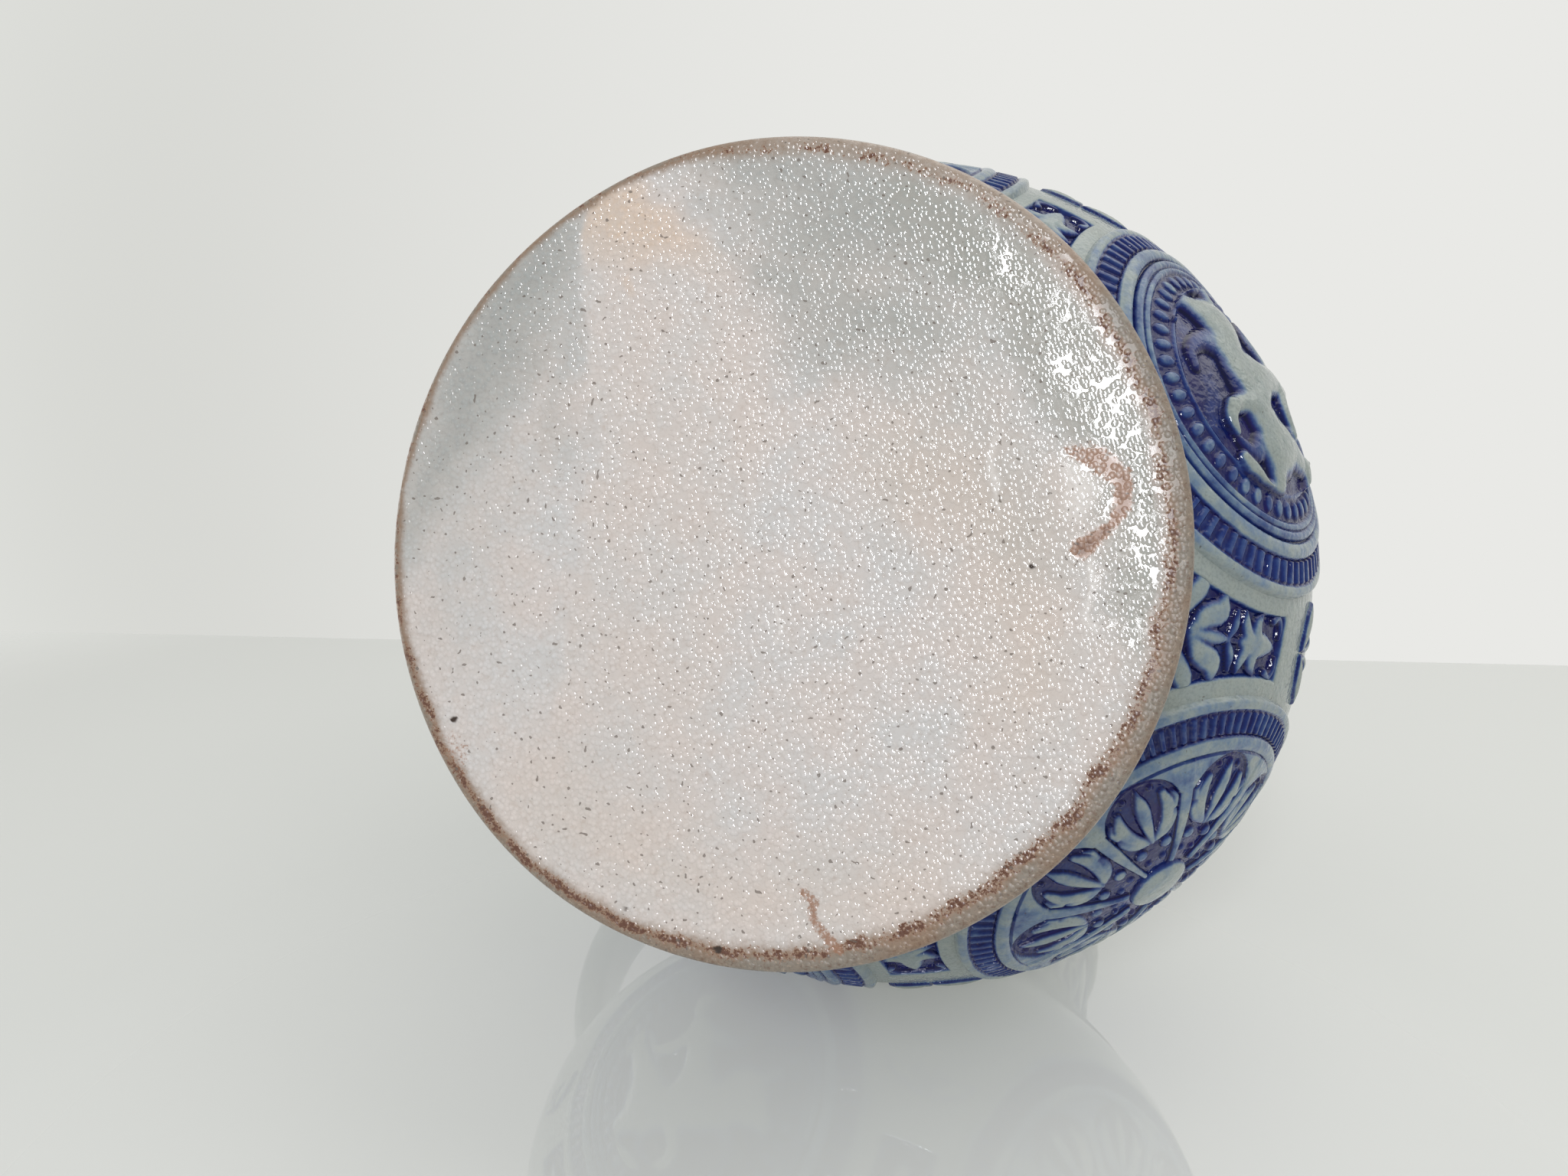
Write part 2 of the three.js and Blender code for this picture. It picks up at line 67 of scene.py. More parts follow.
# Base, body and neck
BASE_RADIUS = 63
BASE_THICKNESS = 6
STANDING_EDGE = 1.2
UPPER_EDGE = 2
BASE_SAG = 0.17
STAIN_SUNK = 0.07
OUT_OF_ROUND = 0.0018
FOOT_INSET = 3
FOOT_EDGE = 2.6
WAIST_RADIUS = 47
WAIST_CURVE = 20
BELLY_RADIUS = 90
LOWER_CURVE = 60
UPPER_CURVE = 52
SHOULDER_CURVE = 12
NECK_RADIUS = 51
NECK_ROOT = 4.6
NECK_LENGTH = 52
RIM_LENGTH = 36
WALL = 5
GAP = 0.3

# Rim, lip and handle
RIM_BAND = 9
RIM_FLARE = 2.5
LIP_REACH = 15
LIP_SPREAD = math.radians(24)
LIP_DEPTH = 26
LIP_LIFT = 0.12
HANDLE_BELOW_RIM = 25
HANDLE_ABOVE_BELLY = 28
HANDLE_REACH = 22
HANDLE_RISE = 4
HANDLE_START = 6
HANDLE_WIDTH = 27
HANDLE_WIDTH_BELOW = 19
HANDLE_THICKNESS = 11

# Rings and bands
RING_HEIGHT = 6
RING_DEPTH = 3
RING_INSET = 2
FRIEZE_INSET = 3
FRIEZE_LEAVES = 20
BAND_HEIGHT = 14
BAND_BELOW_NECK = 7
BAND_TONGUES = 36
BAND_RADIUS = 68
BAND_SLANT = 1.25

# Medallions and panels
MEDALLION_DROP = 25.8
CENTRE_RADIUS = 30.7
INNER_MOULDING = 32.4
INNER_HALF = 1.6
REED_INNER = 33.8
REED_OUTER = 38.6
OUTER_MOULDING = 39.8
OUTER_HALF = 1.2
FRAME_OUTER = 40.8
ROSETTE_REEDS = 100
RIDER_REEDS = 84
RIDER_BEADS = 44
PETALS = 8
BOSS_RADIUS = 6.4
PANEL_MARGIN = 3.5
PANEL_NARROW = 13.17
PANEL_DROP = 2.8
PANEL_FOOT = 0.7
PANEL_SUNK = 1.2
SCROLL_RISE = 9.2
SCROLL_MARGIN = 1.65
SCROLL_TALL = 9

# The outline of the body is four arcs, each tangent to the next.
FOOT_RADIUS = BASE_RADIUS - FOOT_INSET
FOOT_BOTTOM = BASE_THICKNESS + GAP
WAIST_CENTRE = WAIST_RADIUS + WAIST_CURVE
LOWER_CENTRE = BELLY_RADIUS - LOWER_CURVE
UPPER_CENTRE = BELLY_RADIUS - UPPER_CURVE
SHOULDER_CENTRE = NECK_RADIUS + SHOULDER_CURVE
FOOT_ANGLE = math.acos((WAIST_CENTRE - FOOT_RADIUS) / WAIST_CURVE)
LOWER_ANGLE = math.acos((WAIST_CENTRE - LOWER_CENTRE) / (LOWER_CURVE + WAIST_CURVE))
UPPER_ANGLE = math.acos((SHOULDER_CENTRE - UPPER_CENTRE) / (UPPER_CURVE + SHOULDER_CURVE))
WAIST_HEIGHT = FOOT_BOTTOM + FOOT_EDGE + WAIST_CURVE * math.sin(FOOT_ANGLE)
BELLY_HEIGHT = WAIST_HEIGHT + (LOWER_CURVE + WAIST_CURVE) * math.sin(LOWER_ANGLE)
SHOULDER_HEIGHT = BELLY_HEIGHT + (UPPER_CURVE + SHOULDER_CURVE) * math.sin(UPPER_ANGLE)
LOWER_SEAM = BELLY_HEIGHT - LOWER_CURVE * math.sin(LOWER_ANGLE)
UPPER_SEAM = BELLY_HEIGHT + UPPER_CURVE * math.sin(UPPER_ANGLE)
BODY_TOP = SHOULDER_HEIGHT + NECK_ROOT
NECK_TOP = BODY_TOP + NECK_LENGTH
JUG_HEIGHT = NECK_TOP + RIM_LENGTH
MEDALLION_HEIGHT = BELLY_HEIGHT - MEDALLION_DROP
PANEL_BOTTOM = LOWER_SEAM + PANEL_FOOT
PANEL_TOP = MEDALLION_HEIGHT - PANEL_DROP
SCROLL_HEIGHT = MEDALLION_HEIGHT + SCROLL_RISE
FRIEZE_BOTTOM = BODY_TOP + RING_INSET + RING_HEIGHT + FRIEZE_INSET
FRIEZE_TOP = NECK_TOP - RING_INSET - RING_HEIGHT - FRIEZE_INSET
BAND_TOP = SHOULDER_HEIGHT - BAND_BELOW_NECK
BAND_BOTTOM = BAND_TOP - BAND_HEIGHT


def smooth(low, high, value):
    """Eases from 0 at low to 1 at high."""
    share = np.clip((value - low) / (high - low), 0, 1)
    return share * share * (3 - 2 * share)


# Each arc of the outline, from the waist up: the height that it starts from, its centre's height
# and radius, its own radius, +1 where it bulges and -1 where it is hollow, and its least turn.
ARCS = [
    (-math.inf, WAIST_HEIGHT, WAIST_CENTRE, WAIST_CURVE, -1, -1),
    (LOWER_SEAM, BELLY_HEIGHT, LOWER_CENTRE, LOWER_CURVE, 1, -1),
    (BELLY_HEIGHT, BELLY_HEIGHT, UPPER_CENTRE, UPPER_CURVE, 1, -1),
    (UPPER_SEAM, SHOULDER_HEIGHT, SHOULDER_CENTRE, SHOULDER_CURVE, -1, 0),
]


def tilt_at(height):
    """How far the body's outward normal points up at a height, and the body's radius there."""
    height = np.asarray(height, float)
    tilt = radius = np.zeros(height.shape)
    for start, middle, centre, curve, bulge, least in ARCS:
        here = np.arcsin(np.clip(bulge * (height - middle) / curve, least, 1))
        tilt = np.where(height > start, here, tilt)
        radius = np.where(height > start, centre + bulge * curve * np.cos(here), radius)
    return tilt, radius


def round_axis(azimuth, radius, height):
    """Places at an azimuth, a distance from the jug's axis and a height."""
    parts = np.broadcast_arrays(radius * np.cos(azimuth), radius * np.sin(azimuth), height)
    return np.stack(parts, axis=-1)


def skin(azimuth, height, offset=0.0):
    """A point on the body's outside, moved out along its normal."""
    tilt, radius = tilt_at(height)
    return round_axis(azimuth, radius + offset * np.cos(tilt), height + offset * np.sin(tilt))


def on_neck(azimuth, height, offset):
    """A point on the neck's outside, moved out from it."""
    return round_axis(azimuth, NECK_RADIUS + offset, height)


MEDALLION_RADIUS = float(tilt_at(MEDALLION_HEIGHT)[1])
BESIDE_FRAME = 2 * math.asin((FRAME_OUTER + PANEL_MARGIN) / (2 * MEDALLION_RADIUS))
MEDALLION_SPACING = 2 * BESIDE_FRAME + PANEL_NARROW / MEDALLION_RADIUS


def half_angle_between(height, margin):
    """Half the angle between two frames at a height, with a margin of plain clay beside each."""
    here = tilt_at(height)[1]
    rise = height - MEDALLION_HEIGHT
    squares = here**2 + MEDALLION_RADIUS**2 + rise**2 - (FRAME_OUTER + margin) ** 2
    frame_angle = np.arccos(np.clip(squares / (2 * here * MEDALLION_RADIUS), -1, 1))
    return MEDALLION_SPACING / 2 - frame_angle


def on_medallion(azimuth, x, y, offset):
    """Carries a medallion's own flat place onto the belly: x to the right, y up."""
    centre = skin(azimuth, MEDALLION_HEIGHT)
    out = skin(azimuth, MEDALLION_HEIGHT, 1.0) - centre
    right = np.array([-math.sin(azimuth), math.cos(azimuth), 0])
    up = np.cross(out, right)
    distance = np.hypot(x, y)
    way = (np.outer(x, right) + np.outer(y, up)) / np.maximum(distance, 1e-9)[:, None]
    shallow = np.zeros(len(x))
    steep = np.full(len(x), math.radians(75))
    for _ in range(24):
        dip = (shallow + steep) / 2
        point = centre + (distance * np.cos(dip))[:, None] * way
        point = point - (distance * np.sin(dip))[:, None] * out
        outside = np.hypot(point[:, 0], point[:, 1]) > tilt_at(point[:, 2])[1]
        shallow = np.where(outside, dip, shallow)
        steep = np.where(outside, steep, dip)
    return skin(np.arctan2(point[:, 1], point[:, 0]), point[:, 2], offset)


def turned(profile, columns):
    """Rolls a grid once round the axis, so that its rows follow (radius, height) points."""
    rows = len(profile) - 1
    work = bmesh.new()
    bmesh.ops.create_grid(work, x_segments=columns, y_segments=rows, size=1)
    for corner in work.verts:
        radius, height = profile[round((corner.co.y + 1) / 2 * rows)]
        turn = round((corner.co.x + 1) / 2 * columns) % columns * math.tau / columns
        corner.co = (radius * math.cos(turn), radius * math.sin(turn), height)
    bmesh.ops.remove_doubles(work, verts=work.verts, dist=1e-4)
    bmesh.ops.recalc_face_normals(work, faces=work.faces)
    return work


def pressed_sheet(columns, rows):
    """A thin closed sheet over the square from -1 to 1, its face at height 1 and back at -1."""
    work = bmesh.new()
    bmesh.ops.create_grid(work, x_segments=columns, y_segments=rows, size=1)
    bmesh.ops.translate(work, verts=work.verts, vec=(0, 0, 1))
    rim = [edge for edge in work.edges if edge.is_boundary]
    side = bmesh.ops.extrude_edge_only(work, edges=rim)
    low = [part for part in side["geom"] if isinstance(part, bmesh.types.BMVert)]
    for corner in low:
        corner.co.z = -1
    back = [edge for edge in work.edges if edge.is_boundary]
    bmesh.ops.contextual_create(work, geom=back)
    bmesh.ops.recalc_face_normals(work, faces=work.faces)
    return work


def places(mesh):
    """The corners of a mesh as rows of x, y, z."""
    flat = np.empty(len(mesh.vertices) * 3, np.float32)
    mesh.vertices.foreach_get("co", flat)
    return flat.reshape(-1, 3).astype(float)


def finish_piece(name, work, place, material, replaced, sharp=30):
    """Turns a bmesh into a piece. place moves its corners and gives its painted layers."""
    mesh = bpy.data.meshes.new(name)
    work.to_mesh(mesh)
    work.free()
    corners, layers = place(places(mesh))
    mesh.vertices.foreach_set("co", (corners * MM).astype(np.float32).ravel())
    for layer, values in layers.items():
        painted = mesh.attributes.new(layer, "FLOAT", "POINT")
        painted.data.foreach_set("value", values.astype(np.float32))
    mesh.update()
    mesh.shade_smooth()
    mesh.set_sharp_from_angle(angle=math.radians(sharp))
    mesh.materials.append(material)
    piece = bpy.data.objects.new(name, mesh)
    scene.collection.objects.link(piece)
    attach(piece, "root")
    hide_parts(*replaced)
    return piece


def arc(x, y, radius, start, end, steps):
    """Points of an arc in the half plane of the outline."""
    turns = np.linspace(start, end, steps + 1)
    return [(x + radius * math.cos(turn), y + radius * math.sin(turn)) for turn in turns]


def dome(x, y, middle, half_wide, half_tall):
    """An oval swelling, 1 in its middle and 0 at its edge."""
    across = (x - middle[0]) / half_wide
    along = (y - middle[1]) / half_tall
    return np.clip(1 - across**2 - along**2, 0, 1) ** 0.6


def between(start, end, left, arrived, time):
    """Where a point is at a time, when it leaves start and reaches end at the given times."""
    return (start * (arrived - time) + end * (time - left)) / (arrived - left)


def through(points, steps):
    """A smooth line through points, each spaced by the root of its distance to the next."""
    points = np.array(points, float)
    if len(points) == 2:
        return points
    ends = [2 * points[0] - points[1], *points, 2 * points[-1] - points[-2]]
    line = []
    for four in zip(ends, ends[1:], ends[2:], ends[3:]):
        times = [0.0]
        for here, after in zip(four, four[1:]):
            times.append(times[-1] + np.linalg.norm(after - here) ** 0.5)
        for time in np.linspace(times[1], times[2], steps, endpoint=False):
            three = [between(*four[i : i + 2], *times[i : i + 2], time) for i in range(3)]
            two = [between(*three[i : i + 2], times[i], times[i + 2], time) for i in range(2)]
            line.append(between(*two, times[1], times[2], time))
    line.append(points[-1])
    return np.array(line)


def from_line(x, y, start, end):
    """How far along a straight line a place lies, from 0 to 1, and how far away from it."""
    run_x = end[0] - start[0]
    run_y = end[1] - start[1]
    run = run_x**2 + run_y**2 + 1e-9
    along = np.clip(((x - start[0]) * run_x + (y - start[1]) * run_y) / run, 0, 1)
    return along, np.hypot(x - start[0] - along * run_x, y - start[1] - along * run_y)


def strand(x, y, *points):
    """A rounded strand along a smooth line through points of (x, y, half its width)."""
    height = np.zeros(np.shape(x))
    widest = max(point[2] for point in points)
    line = through(points, 4)
    for start, end in zip(line, line[1:]):
        along, away = from_line(x, y, start, end)
        half = np.maximum(start[2] + along * (end[2] - start[2]), 0.15)
        swell = np.clip(1 - (away / half) ** 2, 0, 1) ** 0.6 * (half / widest) ** 0.4
        height = np.maximum(height, swell)
    return height


def melted(*parts):
    """Joins swellings with soft valleys between them, as clay and glaze leave them."""
    return np.minimum(sum(part**5 for part in parts) ** 0.2, 1.15)


def moulding(out, middle, half_wide):
    """The round section of a ring of clay: 1 on its crest and 0 at its sides."""
    return np.clip(1 - ((out - middle) / half_wide) ** 2, 0, 1) ** 0.5


def folded(turn, count):
    """The distance from the middle of one of count like sectors, which are each 1 wide."""
    return np.abs(((turn * count / math.tau) % 1) - 0.5)


def gathered(raised):
    """The dark line of cobalt that gathers round the foot of a relief."""
    return 0.35 * smooth(0.0, 0.12, raised) * smooth(0.45, 0.2, raised)


# Materials


def colour(code):
    """A colour written as sRGB hex, turned to the linear values that a shader reads."""
    parts = [int(code[start : start + 2], 16) / 255 for start in (1, 3, 5)]
    linear = [p / 12.92 if p <= 0.04045 else ((p + 0.055) / 1.055) ** 2.4 for p in parts]
    return (*linear, 1.0)


def node(tree, kind, inputs=None, **settings):
    """Adds a node with its settings, its input values and the links into it. A node given as
    an input stands for its first output."""
    made = tree.nodes.new("ShaderNode" + kind)
    for key, value in settings.items():
        setattr(made, key, value)
    for key, value in (inputs or {}).items():
        if isinstance(value, bpy.types.Node):
            value = value.outputs[0]
        if isinstance(value, bpy.types.NodeSocket):
            tree.links.new(value, made.inputs[key])
        else:
            made.inputs[key].default_value = value
    return made


def new_material(name):
    """A new material, and the function that adds nodes to it."""
    material = bpy.data.materials.new(name)
    material.use_nodes = True
    material.node_tree.nodes.clear()
    return material, partial(node, material.node_tree)


def textured(name, layers, grains):
    """A new material with its painted layers, and its noises with their sizes in millimetres."""
    material, add = new_material(name)
    place = add("TexCoord").outputs["Object"]
    layer = {key: add("Attribute", attribute_name=key).outputs["Fac"] for key in layers}
    noise = {}
    for key, size, detail, roughness in grains:
        inputs = {"Vector": place, "Scale": 1000 / size, "Detail": detail, "Roughness": roughness}
        noise[key] = add("TexNoise", inputs)
    return material, add, layer, noise


def salt_glazed_stoneware():
    """Moulded grey stoneware under salt glaze: a thin glassy skin with a fine orange-peel
    dimple. Cobalt slip was brushed into the grounds, where the glaze pools from bright blue
    through violet to nearly black, and it has run pale over the raised edges."""
    # brush runs of the slip 4 mm, drifts of the salt vapour 25 mm, pools 9 mm, clay grain
    # 0.6 mm, iron grit 1.1 mm, orange peel 1.3 mm from dimple to dimple
    grains = [
        ("runs", 4, 4, 0.6),
        ("drift", 25, 2, 0.5),
        ("pools", 9, 3, 0.6),
        ("grain", 0.6, 2, 0.6),
        ("grit", 1.1, 1, 0.5),
        ("peel", 1.3, 1.5, 0.5),
    ]
    material, add, layer, noise = textured("salt_glazed_stoneware", ["cobalt"], grains)
    cobalt = layer["cobalt"]
    inputs = {"Value": noise["runs"], "From Min": 0.3, "From Max": 0.7}
    uneven = add("MapRange", {**inputs, "To Min": -0.2, "To Max": 0.2})
    brushed = add("MapRange", {"Value": cobalt, "From Max": 0.35, "To Min": 0.15})
    inputs = {0: uneven, 1: brushed, 2: cobalt}
    amount = add("Math", inputs, operation="MULTIPLY_ADD", use_clamp=True)
    slip = add("ValToRGB", {"Fac": amount})
    stops = [
        (0.0, "#9DA39D"),
        (0.14, "#919B9B"),
        (0.3, "#6B8098"),
        (0.5, "#3E5483"),
        (0.74, "#1D3170"),
        (1.0, "#101954"),
    ]
    ramp = slip.color_ramp.elements
    for _ in stops[2:]:
        ramp.new(0.5)
    for element, (where, code) in zip(ramp, stops):
        element.position = where
        element.color = colour(code)
    inputs = {"Factor": noise["drift"], 6: slip, 7: colour("#7E8482")}
    tone = add("Mix", inputs, data_type="RGBA", blend_type="SOFT_LIGHT").outputs[2]
    pooled = add("Math", {0: noise["pools"], 1: amount}, operation="ADD")
    bare = add("Math", {0: amount, 1: -0.3, 2: noise["grain"]}, operation="MULTIPLY_ADD")
    # each coat is laid where its source passes from the first value to the second
    for source, low, high, strength, code in [
        (pooled, 1.42, 1.66, 0.75, "#1B1250"),
        (cobalt, 1.05, 1.3, 0.8, "#0B0C2C"),
        (bare, 0.45, 0.72, 0.4, "#5E6668"),
        (noise["grit"], 0.75, 0.79, 0.65, "#4A4641"),
    ]:
        inputs = {"Value": source, "From Min": low, "From Max": high, "To Max": strength}
        inputs = {"Factor": add("MapRange", inputs), 6: tone, 7: colour(code)}
        tone = add("Mix", inputs, data_type="RGBA").outputs[2]
    bump = add("Bump", {"Height": noise["peel"], "Strength": 0.7, "Distance": 0.3 * MM})
    inputs = {"Value": noise["drift"], "From Min": 0.3, "From Max": 0.7}
    rough = add("MapRange", {**inputs, "To Min": 0.07, "To Max": 0.17})
    inputs = {"Base Color": tone, "Roughness": rough, "IOR": 1.5, "Normal": bump}
    add("OutputMaterial", {"Surface": add("BsdfPrincipled", inputs)})
    return material


def flashed_base_clay():
    """The unpainted underside: buff stoneware that flashed pink, grey and brown in the salt kiln.
    The salt glaze stands on it in glassy droplets, with iron specks and a toasted rim."""
    # mottling 14 mm, clay grain 1.1 mm, toasted flecks 0.7 mm, iron grit 0.8 mm, waves 5 mm
    grains = [
        ("mottle", 14, 5, 0.6),
        ("grain", 1.1, 3, 0.7),
        ("fleck", 0.7, 3, 0.8),
        ("grit", 0.8, 0, 0.5),
        ("waves", 5, 2, 0.5),
    ]
    layers = ["cloud", "blush", "rim", "rust", "stain", "wet", "pale", "pit"]
    material, add, layer, noise = textured("flashed_base_clay", layers, grains)
    # round glaze droplets, 0.85 mm from one to the next; each crown carries a painted highlight
    # and the gaps between them carry painted shade
    place = add("TexCoord").outputs["Object"]
    away = add("TexVoronoi", {"Vector": place, "Scale": 1000 / 0.85})
    square = add("Math", {0: away, 1: away}, operation="MULTIPLY")
    inputs = {"Value": square, "From Max": 0.66**2, "To Min": 1.0, "To Max": 0.0}
    noise["drop"] = add("MapRange", inputs)
    # each coat is laid where its layer and a share of a noise together pass from the first
    # value to the second
    coats = [
        (0.0, 1.0, "mottle", 0.35, 0.68, 1.0, "#C9C7C5"),
        (0.0, 1.0, "grain", 0.5, 0.8, 0.4, "#B4A69C"),
        (layer["blush"], 0.2, "mottle", 0.1, 1.1, 0.85, "#CEBCAD"),
        (layer["blush"], 0.7, "grain", 1.2, 1.6, 0.4, "#D8B896"),
        (layer["cloud"], 0.35, "mottle", 0.15, 1.2, 1.0, "#A3A4A0"),
        (layer["cloud"], 1.0, "grain", 1.1, 1.7, 0.45, "#8D9293"),
        (layer["wet"], 0.6, "mottle", 0.2, 1.3, 0.8, "#979891"),
        # pale glaze; along the two runs it is partly a painted highlight
        (layer["pale"], 0.0, "grain", 0.0, 1.0, 0.7, "#E2DDD8"),
        # painted shade in the gaps between the droplets
        (0.0, 1.0, "drop", 0.75, 0.3, 0.2, "#ADA49B"),
        # a painted highlight on each droplet's crown
        (0.0, 1.0, "drop", 0.9, 0.99, 0.1, "#F6F4F0"),
        (layer["rim"], 0.6, "grain", 0.2, 1.3, 1.0, "#86705D"),
        (layer["rim"], 0.9, "mottle", 1.25, 1.55, 0.6, "#7F8079"),
        (layer["rim"], 1.0, "grain", 1.5, 1.75, 0.45, "#5F4B3C"),
        (layer["rim"], 1.0, "fleck", 1.53, 1.66, 0.6, "#664A39"),
        (layer["rim"], -1.0, "fleck", 0.55, 0.68, 0.5, "#B09C88"),
        (layer["rust"], 1.4, "fleck", 1.12, 1.3, 0.8, "#93725A"),
        (layer["rust"], 1.4, "fleck", 1.24, 1.34, 0.9, "#5C3C30"),
        (layer["stain"], 1.6, "fleck", 1.12, 1.55, 0.9, "#94705A"),
        (layer["stain"], 1.0, "grain", 1.35, 1.6, 0.6, "#6B4C3C"),
        (0.0, 1.0, "grit", 0.77, 0.79, 0.75, "#6A6058"),
        (layer["pit"], 0.0, "grain", 0.3, 0.8, 1.0, "#3D332D"),
    ]
    tone = colour("#CCC3BD")
    for base, share, name, low, high, strength, code in coats:
        inputs = {0: noise[name], 1: share, 2: base}
        source = add("Math", inputs, operation="MULTIPLY_ADD")
        inputs = {"Value": source, "From Min": low, "From Max": high, "To Max": strength}
        eased = add("MapRange", inputs, interpolation_type="SMOOTHSTEP")
        inputs = {"Factor": eased, 6: tone, 7: colour(code)}
        tone = add("Mix", inputs, data_type="RGBA").outputs[2]
    # the droplets stand 0.095 mm high, and lower where the glaze pooled and ran together, over
    # slow waves of 0.035 mm and a grain of 0.008 mm
    tall = add("MapRange", {"Value": layer["wet"], "To Min": 0.095, "To Max": 0.052})
    ripple = 0.0
    for source, rise in [("waves", 0.035), ("grain", 0.008), ("drop", tall)]:
        inputs = {0: noise[source], 1: rise, 2: ripple}
        ripple = add("Math", inputs, operation="MULTIPLY_ADD")
    bump = add("Bump", {"Height": ripple, "Strength": 1.0, "Distance": MM})
    dry = add("Math", {0: layer["rim"], 1: layer["stain"]}, operation="MAXIMUM")
    rough = add("MapRange", {"Value": dry, "From Min": 0.2, "To Min": 0.08, "To Max": 0.38})
    inputs = {"Base Color": tone, "Roughness": rough, "IOR": 1.5, "Normal": bump}
    add("OutputMaterial", {"Surface": add("BsdfPrincipled", inputs)})
    return material


GLAZED = salt_glazed_stoneware()
FLASHED = flashed_base_clay()


# Base


def blot(place, points, softness):
    """A soft patch round a chain of (x, y, radius) places: 1 inside, 0 well outside."""
    amount = np.zeros(np.shape(place[0]))
    for start, end in zip(points, points[1:] or points):
        along, away = from_line(*place, start, end)
        reach = start[2] + along * (end[2] - start[2])
        amount = np.maximum(amount, 1 - smooth(reach - softness, reach + softness, away))
    return amount


def wobble(x, y, size):
    """Gentle unevenness between -1 and 1, with waves of about a size."""
    pace = math.tau / size
    value = np.sin(x * pace + 1.3 + 0.8 * np.sin(y * pace * 0.7 + 0.4))
    value = value + np.sin(y * pace * 1.13 + 2.1 + 0.9 * np.sin(x * pace * 0.8 + 5.0))
    value = value + 0.7 * np.sin((x + y) * pace * 0.77 + 4.0)
    return value / 2.7


